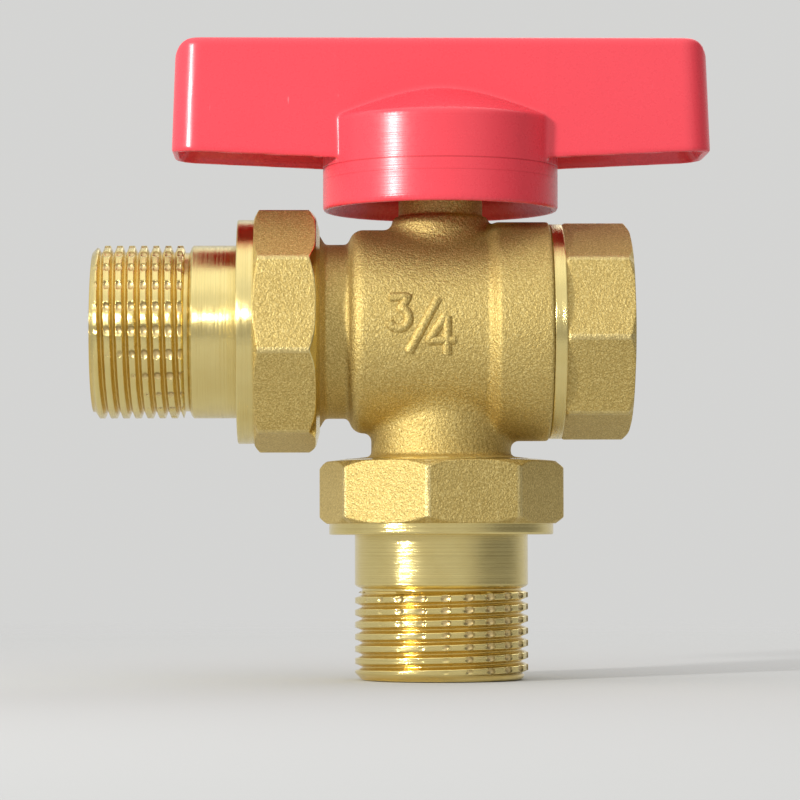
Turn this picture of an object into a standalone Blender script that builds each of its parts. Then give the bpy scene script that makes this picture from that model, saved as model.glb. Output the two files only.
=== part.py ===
"""Three-way ball valve for three-quarter inch pipe: forged brass, with two male unions and one female end.

Metres, +Z up. The origin is the ball's centre, where the stem axis meets the three ports. The left union
points along -X, the end cap along +X and the bottom union along -Z. The red T-handle turns about +Z.
"""

import math

import bmesh
import bpy
from mathutils import Matrix, Vector

# Gap kept between pieces that touch on the real valve
FIT_GAP = 0.0003

# Ball and its L-shaped passage
PORT_RADIUS = 0.0072
BALL_RIM = 0.0043
BALL_BOTTOM_STEP = 0.0004
CHAMBER_GAP = 0.0006
SLOT_WIDTH = 0.0046
SLOT_DEPTH = 0.0032

# Seats and the rubber rings behind them
SEAT_LIP = 0.0003
SEAT_LAND = 0.0020
SEAT_RIM = 0.0012
SEAT_LENGTH = 0.0042
SEAT_RECESS = 0.0006
SEAT_RING_SIZE = 0.0012
SEAT_RING_INSET = 0.0006

# Forged body
BODY_WALL = 0.0032
COLLAR_STEP = 0.0012
COLLAR_START = 0.0083
COLLAR_RAMP = 0.0020
BODY_RIGHT = 0.0162
BARREL_LEFT = 0.0138
SHOULDER_ROUND = 0.0024
NECK_ROUND = 0.0016
STEP_ROUND = 0.0011
EDGE_CHAMFER = 0.0004
NECK_WALL = 0.0021
BOTTOM_NECK_WALL = 0.0033
SPIGOT_FLARE = 0.0009
SPIGOT_INSET = 0.0006

# Stem and its boss
STEM_RADIUS = 0.0042
STEM_SHOULDER = 0.0014
STEM_SHOULDER_THICKNESS = 0.0013
THRUST_WASHER_THICKNESS = 0.0008
STEM_RING_SIZE = 0.0012
STEM_RING_SPACING = 0.0030
STEM_RING_START = 0.0008
STEM_RINGS = 2
TANG_LENGTH = 0.0090
DRIVE_RADIUS = 0.0036
DRIVE_FLAT = 0.0026
DRIVE_LENGTH = 0.0100
BOSS_WALL = 0.0018
BOSS_HEIGHT = 0.0077
BOSS_LEDGE = 0.0019
BOSS_LEDGE_STEP = 0.0007
BOSS_GROOVE = 0.0003
BOSS_FOOT_WALL = 0.0016
BOSS_FOOT_SPREAD = 0.0009
STOP_RADIUS = 0.0115
STOP_THICKNESS = 0.0018

# Union connections, alike on the left and at the bottom
PIPE_THREAD_RADIUS = 0.0130
TAIL_WALL = 0.0034
TAIL_REACH = 0.02165
TAIL_CHAMFER = 0.0010
SMOOTH_LENGTH = 0.00695
THREAD_RELIEF_WIDTH = 0.0012
THREAD_DEPTH = 0.00105
THREAD_PITCH = 0.001814
THREAD_CREST = 0.0008
FLANGE_LAND = 0.0009
FLANGE_THICKNESS = 0.0025
GASKET_THICKNESS = 0.0018
UNION_THREAD_STEP = 0.0004
UNION_THREAD_LENGTH = 0.0046
NUT_STANDOFF = 0.00185
NUT_LIP = 0.0024
NUT_COLLAR_WALL = 0.00195
NUT_COLLAR_THICKNESS = 0.0024
NUT_FLAT_STEP = 0.00025
NUT_NOSE_LENGTH = 0.0006
NUT_NOSE_ROUND = 0.0009

# End cap
CAP_THREAD_STEP = 0.0013
CAP_RING_DROP = 0.0003
CAP_RING_WIDTH = 0.0014
CAP_FLAT_DROP = 0.00105
CAP_WRENCH_LENGTH = 0.0103
CAP_RING_SEAL_SIZE = 0.0014
CAP_SEAL_DEPTH = 0.0019
CAP_SOCKET_WEB = 0.0012
SOCKET_RADIUS = 0.01206
SOCKET_CHAMFER = 0.0009

# Handle
HUB_NUT_GAP = 0.00065
HUB_STANDOFF = 0.0029
HUB_HEIGHT = 0.0135
HUB_RIM_ROUND = 0.0007
HANDLE_WALL = 0.0020
HANDLE_HEIGHT = 0.0253
ARM_HALF_LENGTH = 0.04035
ARM_HALF_WIDTH = 0.0090
ARM_BOTTOM = 0.00645
ARM_BOTTOM_RISE = 0.00185
ARM_CORNER_ROUND = 0.0038
ARM_TOP_ROUND = 0.0010
ARM_END_ROUND = 0.0030
POST_RADIUS = 0.0068
POST_WEB = 0.0027
RECESS_RADIUS = 0.0050
RIB_THICKNESS = 0.0016
RIB_CLEAR = 0.0030
RIB_PITCH = 0.0090
STOP_RIB_HALF = 0.0020
STOP_RIB_REACH = 0.0071
STOP_RIB_DROP = 0.0015
HANDLE_DRAFT_DEGREES = 2.0
HUB_CONE_DEGREES = 24.0

# Handle screw
SCREW_RADIUS = 0.00195
SCREW_LENGTH = 0.0100
SCREW_HEAD_RADIUS = 0.0036
SCREW_HEAD_HEIGHT = 0.0024
SCREW_HEAD_ROUND = 0.0010
SCREW_TIP_ROOM = 0.0010
WASHER_RADIUS = 0.0044
WASHER_THICKNESS = 0.0009

# Angles of the wrench flats as they stand on the valve, in degrees
LEFT_NUT_TURN = 33.2
BOTTOM_NUT_TURN = 8.0
CAP_TURN = 6.2
NUT_CHAMFER_DEGREES = 30.0
NUT_REAR_CHAMFER_DEGREES = 35.0

# Counts
WRENCH_SIDES = 8
BODY_STEPS = 32
BRANCH_STEPS = 24
UNION_STEPS = 28
SMALL_STEPS = 20
RING_SECTION = 6
BEND_STEPS = 3
BALL_SEGMENTS = 24
BALL_RINGS = 12
ARM_RIBS = 2

# Most of a side that one rounding may take, and the edge angle below which faces are shaded as one
ROUNDING_SHARE = 0.48
SMOOTH_DEGREES = 35.0

# How far a cutter runs past the face that it opens
OVERCUT = 0.0010

# Turns about Y that bring a piece's own +Z to its port
UP = 0.0
RIGHT = math.pi / 2
LEFT = -math.pi / 2
DOWN = math.pi

# Sizes that follow from the ones above
ball_radius = PORT_RADIUS + BALL_RIM
chamber_radius = ball_radius + CHAMBER_GAP
barrel_radius = chamber_radius + BODY_WALL
collar_radius = barrel_radius + COLLAR_STEP

seat_sphere = ball_radius + FIT_GAP
seat_bore = PORT_RADIUS + SEAT_LIP
seat_land = seat_bore + SEAT_LAND
seat_outer = seat_land + SEAT_RIM
seat_front = math.sqrt(seat_sphere**2 - seat_land**2)
seat_back = seat_front + SEAT_LENGTH
seat_pocket_radius = seat_outer + FIT_GAP
seat_pocket_back = seat_back + SEAT_RING_SIZE + 2 * FIT_GAP
seat_pocket_front = seat_front - SEAT_RECESS

neck_radius = seat_pocket_radius + NECK_WALL
bottom_neck_radius = PORT_RADIUS + BOTTOM_NECK_WALL

tail_bore = PIPE_THREAD_RADIUS - TAIL_WALL
lip_radius = PIPE_THREAD_RADIUS + FIT_GAP
flange_radius = lip_radius + FLANGE_LAND
spigot_radius = flange_radius + UNION_THREAD_STEP
nut_bore = spigot_radius + FIT_GAP
nut_collar_radius = nut_bore + NUT_COLLAR_WALL
nut_flat = nut_collar_radius + NUT_FLAT_STEP
nut_corner = nut_flat / math.cos(math.pi / WRENCH_SIDES)

nut_rear = collar_radius + NUT_STANDOFF
spigot_start = nut_rear + SPIGOT_INSET
spigot_end = nut_rear + UNION_THREAD_LENGTH
gasket_start = spigot_end + FIT_GAP
gasket_end = gasket_start + GASKET_THICKNESS
flange_start = gasket_end + FIT_GAP
flange_end = flange_start + FLANGE_THICKNESS
lip_start = flange_end + FIT_GAP
nut_face = lip_start + NUT_LIP
smooth_end = nut_face + SMOOTH_LENGTH
thread_start = smooth_end + THREAD_RELIEF_WIDTH
tail_end = nut_face + TAIL_REACH

stem_shoulder_radius = STEM_RADIUS + STEM_SHOULDER
stem_bore = STEM_RADIUS + FIT_GAP
stem_pocket_radius = stem_shoulder_radius + FIT_GAP
stem_bottom = ball_radius + FIT_GAP
stem_shoulder_top = stem_bottom + STEM_SHOULDER_THICKNESS
thrust_washer_bottom = stem_shoulder_top + FIT_GAP
thrust_washer_top = thrust_washer_bottom + THRUST_WASHER_THICKNESS
stem_pocket_top = thrust_washer_top + FIT_GAP
stem_groove_radius = stem_bore - STEM_RING_SIZE - 2 * FIT_GAP
stem_groove_width = STEM_RING_SIZE + 2 * FIT_GAP
stem_groove_start = stem_pocket_top + STEM_RING_START
stem_groove_bottoms = [stem_groove_start + step * STEM_RING_SPACING for step in range(STEM_RINGS)]
boss_radius = stem_bore + BOSS_WALL
boss_ledge_radius = boss_radius + BOSS_LEDGE_STEP
boss_foot_radius = stem_pocket_radius + BOSS_FOOT_WALL
boss_ledge = barrel_radius + BOSS_LEDGE
boss_top = barrel_radius + BOSS_HEIGHT
drive_start = boss_top + FIT_GAP
stem_top = boss_top + DRIVE_LENGTH
slot_floor = ball_radius - SLOT_DEPTH
tang_bottom = slot_floor + FIT_GAP
stop_face = STOP_RIB_HALF + FIT_GAP

cap_thread_bore = chamber_radius + CAP_THREAD_STEP
cap_spigot_radius = cap_thread_bore - FIT_GAP
cap_spigot_start = seat_pocket_front
cap_bore_start = cap_spigot_start - FIT_GAP
cap_ring_radius = collar_radius - CAP_RING_DROP
cap_ring_start = BODY_RIGHT + FIT_GAP
cap_ring_end = cap_ring_start + CAP_RING_WIDTH
cap_end = cap_ring_end + CAP_WRENCH_LENGTH
cap_flat = cap_ring_radius - CAP_FLAT_DROP
cap_corner = cap_flat / math.cos(math.pi / WRENCH_SIDES)
cap_seal_end = cap_ring_start - FIT_GAP
cap_seal_start = cap_seal_end - CAP_RING_SEAL_SIZE - 2 * FIT_GAP
cap_seal_radius = cap_thread_bore - CAP_SEAL_DEPTH
socket_bottom = cap_ring_start + CAP_SOCKET_WEB

hub_radius = nut_rear - HUB_NUT_GAP
hub_inner = hub_radius - HANDLE_WALL
hub_bottom = barrel_radius + HUB_STANDOFF
hub_top = hub_bottom + HUB_HEIGHT
hub_slope = math.tan(math.radians(HUB_CONE_DEGREES))
cone_wall = HANDLE_WALL / math.cos(math.radians(HUB_CONE_DEGREES))
handle_top = hub_bottom + HANDLE_HEIGHT
arm_bottom = hub_bottom + ARM_BOTTOM
draft = math.tan(math.radians(HANDLE_DRAFT_DEGREES))
post_bottom = drive_start + FIT_GAP
web_bottom = stem_top + FIT_GAP
recess_floor = web_bottom + POST_WEB
screw_hole = SCREW_RADIUS + FIT_GAP
washer_bottom = recess_floor + FIT_GAP
washer_top = washer_bottom + WASHER_THICKNESS
screw_seat = washer_top + FIT_GAP
screw_tip = screw_seat - SCREW_LENGTH
stem_hole_bottom = screw_tip - SCREW_TIP_ROOM

# Colours, roughness and metallic value of each finish
BRASS_FORGED = ((0.60, 0.43, 0.17), 0.48, 1.0)
BRASS_TURNED = ((0.78, 0.60, 0.25), 0.22, 1.0)
CHROME = ((0.75, 0.76, 0.78), 0.12, 1.0)
STEEL = ((0.60, 0.61, 0.62), 0.30, 1.0)
RED_PLASTIC = ((0.72, 0.03, 0.05), 0.28, 0.0)
SEAT_PLASTIC = ((0.88, 0.88, 0.86), 0.45, 0.0)
BLACK_RUBBER = ((0.03, 0.03, 0.03), 0.70, 0.0)


def clear_scene():
    for obj in list(bpy.data.objects):
        bpy.data.objects.remove(obj, do_unlink=True)


def collection_named(name):
    collection = bpy.data.collections.new(name)
    bpy.context.scene.collection.children.link(collection)
    return collection


clear_scene()
PARTS = collection_named("Three-way valve")
CUTTERS = collection_named("Cutters")


def material_of(name, finish):
    colour, roughness, metallic = finish
    material = bpy.data.materials.new(name)
    material.use_nodes = True
    shader = material.node_tree.nodes["Principled BSDF"]
    shader.inputs["Base Color"].default_value = (*colour, 1.0)
    shader.inputs["Roughness"].default_value = roughness
    shader.inputs["Metallic"].default_value = metallic
    return material


def rounded(corners):
    """Points of an outline of (radius, height, rounding) corners, each rounding an arc."""
    points = []
    for index, (radius, height, rounding) in enumerate(corners):
        corner = Vector((radius, height))
        if rounding == 0:
            points.append(corner)
            continue
        before = Vector(corners[index - 1][:2]) - corner
        after = Vector(corners[(index + 1) % len(corners)][:2]) - corner
        half = before.angle(after) / 2
        shorter = min(before.length, after.length)
        reach = min(rounding / math.tan(half), ROUNDING_SHARE * shorter)
        bisector = (before.normalized() + after.normalized()).normalized()
        centre = corner + bisector * reach / math.cos(half)
        start = corner + before.normalized() * reach - centre
        end = corner + after.normalized() * reach - centre
        angle = math.atan2(start.y, start.x)
        sweep = math.remainder(math.atan2(end.y, end.x) - angle, 2 * math.pi)
        for step in range(BEND_STEPS + 1):
            turn = angle + sweep * step / BEND_STEPS
            points.append(centre + start.length * Vector((math.cos(turn), math.sin(turn))))
    return points


def sharp(points):
    return [(radius, height, 0) for radius, height in points]


def placed(name, mesh, port):
    """A shape at its port, kept among the cutters until it is settled as a piece."""
    obj = bpy.data.objects.new(name, mesh)
    obj.rotation_euler.y = port
    obj.hide_render = True
    obj.display_type = "WIRE"
    CUTTERS.objects.link(obj)
    return obj


def half_step_on(obj):
    """Turns a bore by half a step, so that its edges fall between those of the face that it opens."""
    screw = obj.modifiers["Turn"]
    for vertex in obj.data.vertices:
        vertex.co = Matrix.Rotation(math.pi / screw.steps, 3, "Z") @ vertex.co
    return obj


def turned(name, corners, steps, port=UP, ring=False):
    """Shape of revolution about the port's axis. Only a ring's outline keeps off that axis."""
    points = rounded(corners)
    edges = [(i, i + 1) for i in range(len(points) - 1)]
    if ring:
        edges.append((len(points) - 1, 0))
    mesh = bpy.data.meshes.new(name)
    mesh.from_pydata([(p.x, 0, p.y) for p in points], edges, [])
    obj = placed(name, mesh, port)
    screw = obj.modifiers.new("Turn", "SCREW")
    screw.steps = steps
    screw.render_steps = steps
    screw.use_merge_vertices = True
    screw.merge_threshold = 1e-6
    return obj


def block(name, low, high, port=UP):
    """Box cutter between two corners."""
    mesh = bpy.data.meshes.new(name)
    shape = bmesh.new()
    bmesh.ops.create_cube(shape, size=1)
    for vertex in shape.verts:
        vertex.co = [a + (b - a) * (c + 0.5) for a, b, c in zip(low, high, vertex.co)]
    shape.to_mesh(mesh)
    shape.free()
    return placed(name, mesh, port)


def prism(name, flat_radius, start, end, turn_degrees, port):
    """Wrench prism along the port's axis, with flats at the given radius."""
    corner = flat_radius / math.cos(math.pi / WRENCH_SIDES)
    mesh = bpy.data.meshes.new(name)
    shape = bmesh.new()
    bmesh.ops.create_cone(
        shape, cap_ends=True, segments=WRENCH_SIDES, radius1=corner, radius2=corner, depth=end - start
    )
    bmesh.ops.translate(shape, verts=shape.verts, vec=(0, 0, (start + end) / 2))
    turn = Matrix.Rotation(math.radians(turn_degrees), 3, "Z")
    bmesh.ops.rotate(shape, verts=shape.verts, cent=(0, 0, 0), matrix=turn)
    shape.to_mesh(mesh)
    shape.free()
    return placed(name, mesh, port)


def combine(obj, operation, other):
    boolean = obj.modifiers.new(operation.title(), "BOOLEAN")
    boolean.operation = operation
    boolean.object = other


def settle(obj, finish, parent=None):
    """Freezes the modifiers of a finished piece and gives it its shading and finish."""
    graph = bpy.context.evaluated_depsgraph_get()
    mesh = bpy.data.meshes.new_from_object(obj.evaluated_get(graph))
    mesh.name = obj.name
    obj.modifiers.clear()
    obj.data = mesh
    mesh.materials.clear()
    mesh.materials.append(material_of(obj.name, finish))
    mesh.shade_smooth()
    mesh.set_sharp_from_angle(angle=math.radians(SMOOTH_DEGREES))
    CUTTERS.objects.unlink(obj)
    PARTS.objects.link(obj)
    obj.hide_render = False
    obj.display_type = "TEXTURED"
    obj.parent = parent
    return obj


def axis_empty(name):
    empty = bpy.data.objects.new(name, None)
    PARTS.objects.link(empty)
    return empty


def round_ring(name, middle, size, height, port=UP):
    """Rubber ring of a round section."""
    corners = []
    for step in range(RING_SECTION):
        turn = -2 * math.pi * step / RING_SECTION
        corners.append((middle + size / 2 * math.cos(turn), height + size / 2 * math.sin(turn)))
    return turned(name, sharp(corners), SMALL_STEPS, port, ring=True)


def spigot_outline(radius_of_neck, inner_end):
    """Union thread on the end of a neck, with the flare that carries it."""
    return [
        (0, spigot_end, 0),
        (spigot_radius - EDGE_CHAMFER, spigot_end, 0),
        (spigot_radius, spigot_end - EDGE_CHAMFER, 0),
        (spigot_radius, spigot_start, 0),
        (radius_of_neck, spigot_start - SPIGOT_FLARE, 0),
        (radius_of_neck, inner_end, 0),
        (0, inner_end, 0),
    ]


def make_body():
    """Forging: barrel with collar, two necks and the stem boss, bored for the ball, ports and stem."""
    barrel = [
        (0, BODY_RIGHT, 0),
        (collar_radius - EDGE_CHAMFER, BODY_RIGHT, 0),
        (collar_radius, BODY_RIGHT - EDGE_CHAMFER, 0),
        (collar_radius, COLLAR_START, STEP_ROUND),
        (barrel_radius, COLLAR_START - COLLAR_RAMP, STEP_ROUND),
        (barrel_radius, -BARREL_LEFT, SHOULDER_ROUND),
        (neck_radius, -BARREL_LEFT, NECK_ROUND),
        (neck_radius, SPIGOT_FLARE - spigot_start, 0),
        (spigot_radius, -spigot_start, 0),
        (spigot_radius, EDGE_CHAMFER - spigot_end, 0),
        (spigot_radius - EDGE_CHAMFER, -spigot_end, 0),
        (0, -spigot_end, 0),
    ]
    body = turned("valve_body", barrel, BODY_STEPS, RIGHT)
    neck = turned("bottom_neck", spigot_outline(bottom_neck_radius, PORT_RADIUS), BRANCH_STEPS, DOWN)
    boss = [
        (0, boss_top, 0),
        (boss_radius - EDGE_CHAMFER, boss_top, 0),
        (boss_radius, boss_top - EDGE_CHAMFER, 0),
        (boss_radius, boss_ledge + BOSS_GROOVE, 0),
        (boss_radius - BOSS_GROOVE, boss_ledge, 0),
        (boss_ledge_radius, boss_ledge, BOSS_GROOVE),
        (boss_foot_radius, barrel_radius, 0),
        (boss_foot_radius + BOSS_FOOT_SPREAD, stem_bottom, 0),
        (0, stem_bottom, 0),
    ]
    boss = turned("stem_boss", boss, BRANCH_STEPS)
    stop_bottom = boss_top - STOP_THICKNESS
    stop = sharp([(0, boss_top), (STOP_RADIUS, boss_top), (STOP_RADIUS, stop_bottom), (0, stop_bottom)])
    stop = turned("stop_disc", stop, BRANCH_STEPS)
    span = STOP_RADIUS + OVERCUT
    low = (-span, -span, stop_bottom - OVERCUT)
    stop_cut = block("stop_cut", low, (stop_face, span, boss_top + OVERCUT))
    combine(stop, "DIFFERENCE", stop_cut)
    flow = [
        (0, BODY_RIGHT + OVERCUT),
        (cap_thread_bore, BODY_RIGHT + OVERCUT),
        (cap_thread_bore, cap_bore_start),
        (chamber_radius, cap_bore_start),
        (chamber_radius, -seat_pocket_front),
        (seat_pocket_radius, -seat_pocket_front),
        (seat_pocket_radius, -seat_pocket_back),
        (PORT_RADIUS, -seat_pocket_back),
        (PORT_RADIUS, -spigot_end - OVERCUT),
        (0, -spigot_end - OVERCUT),
    ]
    flow = turned("flow_bore", sharp(flow), BODY_STEPS, RIGHT)
    bottom = sharp([
        (0, spigot_end + OVERCUT),
        (PORT_RADIUS, spigot_end + OVERCUT),
        (PORT_RADIUS, PORT_RADIUS),
        (0, PORT_RADIUS),
    ])
    bottom = turned("bottom_bore", bottom, BRANCH_STEPS, DOWN)
    stem_way = sharp([
        (0, boss_top + OVERCUT),
        (stem_bore, boss_top + OVERCUT),
        (stem_bore, stem_pocket_top),
        (stem_pocket_radius, stem_pocket_top),
        (stem_pocket_radius, slot_floor),
        (0, slot_floor),
    ])
    stem_way = turned("stem_bore", stem_way, SMALL_STEPS)
    for shape in (neck, boss, stop):
        combine(body, "UNION", shape)
    for bore in (flow, bottom, stem_way):
        combine(body, "DIFFERENCE", half_step_on(bore))
    settle(body, BRASS_FORGED)


def make_end_cap():
    """Cap with its sealed thread, turned ring, wrench end and pipe socket."""
    chamfer = (cap_corner - cap_flat) * math.tan(math.radians(NUT_CHAMFER_DEGREES))
    envelope = sharp([
        (0, cap_end),
        (cap_flat, cap_end),
        (cap_corner + OVERCUT, cap_end - chamfer - OVERCUT * math.tan(math.radians(NUT_CHAMFER_DEGREES))),
        (cap_corner + OVERCUT, cap_ring_start),
        (0, cap_ring_start),
    ])
    thread = sharp([
        (0, cap_ring_end),
        (cap_ring_radius, cap_ring_end),
        (cap_ring_radius, cap_ring_start),
        (cap_spigot_radius, cap_ring_start),
        (cap_spigot_radius, cap_seal_end),
        (cap_seal_radius, cap_seal_end),
        (cap_seal_radius, cap_seal_start),
        (cap_spigot_radius, cap_seal_start),
        (cap_spigot_radius, cap_spigot_start),
        (0, cap_spigot_start),
    ])
    bore = sharp([
        (0, cap_end + OVERCUT),
        (SOCKET_RADIUS + SOCKET_CHAMFER + OVERCUT, cap_end + OVERCUT),
        (SOCKET_RADIUS, cap_end - SOCKET_CHAMFER),
        (SOCKET_RADIUS, socket_bottom),
        (PORT_RADIUS, socket_bottom),
        (PORT_RADIUS, seat_pocket_back),
        (seat_pocket_radius, seat_pocket_back),
        (seat_pocket_radius, cap_spigot_start - OVERCUT),
        (0, cap_spigot_start - OVERCUT),
    ])
    cap = prism("end_cap", cap_flat, (cap_ring_start + cap_ring_end) / 2, cap_end, CAP_TURN, RIGHT)
    combine(cap, "INTERSECT", turned("cap_envelope", envelope, UNION_STEPS, RIGHT))
    combine(cap, "UNION", turned("cap_thread", thread, UNION_STEPS, RIGHT))
    combine(cap, "DIFFERENCE", half_step_on(turned("cap_bore", bore, UNION_STEPS, RIGHT)))
    settle(cap, BRASS_FORGED)
    seal_middle = cap_thread_bore - FIT_GAP - CAP_RING_SEAL_SIZE / 2
    seal_height = (cap_seal_start + cap_seal_end) / 2
    seal = round_ring("end_cap_o_ring", seal_middle, CAP_RING_SEAL_SIZE, seal_height, RIGHT)
    settle(seal, BLACK_RUBBER)


def make_seat(side, port):
    """Seat ring whose face follows the ball, with the rubber ring that presses it on."""
    face = []
    for step in range(BEND_STEPS + 1):
        radius = seat_land + (seat_bore - seat_land) * step / BEND_STEPS
        face.append((radius, math.sqrt(seat_sphere**2 - radius**2)))
    corners = [(seat_outer, seat_back), (seat_outer, seat_front), *face, (seat_bore, seat_back)]
    settle(turned(f"{side}_seat", sharp(corners), BRANCH_STEPS, port, ring=True), SEAT_PLASTIC)
    middle = seat_outer - SEAT_RING_INSET - SEAT_RING_SIZE / 2
    height = seat_back + FIT_GAP + SEAT_RING_SIZE / 2
    settle(round_ring(f"{side}_seat_o_ring", middle, SEAT_RING_SIZE, height, port), BLACK_RUBBER)


def make_ball(parent):
    """Ball with an L-shaped passage from its left side to its bottom, and the stem's slot on top."""
    mesh = bpy.data.meshes.new("ball")
    shape = bmesh.new()
    bmesh.ops.create_uvsphere(shape, u_segments=BALL_SEGMENTS, v_segments=BALL_RINGS, radius=ball_radius)
    shape.to_mesh(mesh)
    shape.free()
    ball = placed("ball", mesh, UP)
    elbow = [(0, ball_radius + OVERCUT), (PORT_RADIUS, ball_radius + OVERCUT)]
    for step in range(2 * BEND_STEPS):
        turn = math.pi / 2 * step / (2 * BEND_STEPS)
        elbow.append((PORT_RADIUS * math.cos(turn), -PORT_RADIUS * math.sin(turn)))
    elbow.append((0, -PORT_RADIUS))
    side_port = turned("ball_side_port", sharp(elbow), SMALL_STEPS, LEFT)
    bottom_radius = PORT_RADIUS - BALL_BOTTOM_STEP
    reach = ball_radius + OVERCUT
    bottom = sharp([(0, reach), (bottom_radius, reach), (bottom_radius, 0), (0, 0)])
    bottom_port = turned("ball_bottom_port", bottom, SMALL_STEPS, DOWN)
    slot = block("ball_slot", (-SLOT_WIDTH / 2, -reach, slot_floor), (SLOT_WIDTH / 2, reach, reach))
    for cutter in (side_port, bottom_port, slot):
        combine(ball, "DIFFERENCE", cutter)
    settle(ball, CHROME, parent)


def make_stem(parent):
    """Stem with tang, shoulder, two ring grooves, flats for the handle and a tapped hole."""
    outline = [
        (0, stem_hole_bottom),
        (screw_hole, stem_hole_bottom),
        (screw_hole, stem_top),
        (DRIVE_RADIUS, stem_top),
        (DRIVE_RADIUS, drive_start),
        (STEM_RADIUS, drive_start),
    ]
    for bottom in reversed(stem_groove_bottoms):
        outline.append((STEM_RADIUS, bottom + stem_groove_width))
        outline.append((stem_groove_radius, bottom + stem_groove_width))
        outline.append((stem_groove_radius, bottom))
        outline.append((STEM_RADIUS, bottom))
    outline.append((STEM_RADIUS, stem_shoulder_top))
    outline.append((stem_shoulder_radius, stem_shoulder_top))
    outline.append((stem_shoulder_radius, stem_bottom))
    outline.append((0, stem_bottom))
    stem = turned("stem", sharp(outline), SMALL_STEPS)
    half = SLOT_WIDTH / 2 - FIT_GAP
    tang_top = (stem_bottom + stem_shoulder_top) / 2
    combine(
        stem,
        "UNION",
        block("stem_tang", (-half, -TANG_LENGTH / 2, tang_bottom), (half, TANG_LENGTH / 2, tang_top)),
    )
    for side in (-1, 1):
        reach = [side * DRIVE_FLAT, side * (DRIVE_RADIUS + OVERCUT)]
        low = (-DRIVE_RADIUS - OVERCUT, min(reach), drive_start)
        high = (DRIVE_RADIUS + OVERCUT, max(reach), stem_top + OVERCUT)
        combine(stem, "DIFFERENCE", block("stem_flat", low, high))
    settle(stem, BRASS_TURNED, parent)
    washer = [
        (stem_shoulder_radius, thrust_washer_top),
        (stem_shoulder_radius, thrust_washer_bottom),
        (stem_bore, thrust_washer_bottom),
        (stem_bore, thrust_washer_top),
    ]
    settle(turned("stem_thrust_washer", sharp(washer), SMALL_STEPS, ring=True), SEAT_PLASTIC)
    for name, bottom in zip(("stem_lower_o_ring", "stem_upper_o_ring"), stem_groove_bottoms):
        middle = (stem_groove_radius + stem_bore) / 2
        ring = round_ring(name, middle, STEM_RING_SIZE, bottom + stem_groove_width / 2)
        settle(ring, BLACK_RUBBER, parent)


def thread_rings(root):
    """Outline of the pipe thread's grooves from the tip down, as plain rings."""
    room = tail_end - TAIL_CHAMFER - thread_start - THREAD_CREST
    points = []
    for groove in reversed(range(math.floor(room / THREAD_PITCH))):
        start = thread_start + groove * THREAD_PITCH + THREAD_CREST
        end = thread_start + (groove + 1) * THREAD_PITCH
        points.append((PIPE_THREAD_RADIUS, end))
        points.append((root, (start + end) / 2))
        points.append((PIPE_THREAD_RADIUS, start))
    return points


def make_union(side, port, nut_turn, parent):
    """Union nut, tailpiece and gasket of one port."""
    front_slope = math.tan(math.radians(NUT_CHAMFER_DEGREES))
    rear_slope = math.tan(math.radians(NUT_REAR_CHAMFER_DEGREES))
    beyond = nut_corner + OVERCUT
    shoulder = nut_face - NUT_COLLAR_THICKNESS
    nut = [
        (nut_collar_radius - EDGE_CHAMFER, nut_face, 0),
        (nut_collar_radius, nut_face - EDGE_CHAMFER, 0),
        (nut_collar_radius, shoulder, 0),
        (nut_flat, shoulder, 0),
        (beyond, shoulder - (beyond - nut_flat) * front_slope, 0),
        (beyond, nut_rear + NUT_NOSE_LENGTH + (beyond - nut_flat) * rear_slope, 0),
        (nut_flat, nut_rear + NUT_NOSE_LENGTH, NUT_NOSE_ROUND),
        (nut_bore + EDGE_CHAMFER, nut_rear, 0),
        (nut_bore, nut_rear + EDGE_CHAMFER, 0),
        (nut_bore, lip_start, 0),
        (lip_radius, lip_start, 0),
        (lip_radius, nut_face, 0),
    ]
    nut = turned(f"{side}_union_nut", nut, UNION_STEPS, port, ring=True)
    flats = prism(f"{side}_nut_flats", nut_flat, nut_rear - OVERCUT, nut_face + OVERCUT, nut_turn, port)
    combine(nut, "INTERSECT", flats)
    settle(nut, BRASS_FORGED, parent)
    root = PIPE_THREAD_RADIUS - THREAD_DEPTH
    tail = [
        (PIPE_THREAD_RADIUS - TAIL_CHAMFER, tail_end),
        (PIPE_THREAD_RADIUS, tail_end - TAIL_CHAMFER),
        *thread_rings(root),
        (PIPE_THREAD_RADIUS, thread_start),
        (root, thread_start),
        (root, smooth_end),
        (PIPE_THREAD_RADIUS, smooth_end),
        (PIPE_THREAD_RADIUS, flange_end),
        (flange_radius, flange_end),
        (flange_radius, flange_start),
        (tail_bore, flange_start),
        (tail_bore, tail_end),
    ]
    settle(turned(f"{side}_tailpiece", sharp(tail), BRANCH_STEPS, port, ring=True), BRASS_TURNED, parent)
    gasket = [
        (flange_radius, gasket_end),
        (flange_radius, gasket_start),
        (tail_bore, gasket_start),
        (tail_bore, gasket_end),
    ]
    settle(turned(f"{side}_gasket", sharp(gasket), BRANCH_STEPS, port, ring=True), BLACK_RUBBER, parent)


def rounded_rectangle(half_length, half_width, corner):
    """Plan outline, anticlockwise, with round corners."""
    points = []
    for quarter in range(4):
        side_x = half_length - corner if quarter in (0, 3) else corner - half_length
        side_y = half_width - corner if quarter in (0, 1) else corner - half_width
        for step in range(BEND_STEPS + 2):
            turn = math.pi / 2 * (quarter + step / (BEND_STEPS + 1))
            points.append((side_x + corner * math.cos(turn), side_y + corner * math.sin(turn)))
    return points


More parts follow.
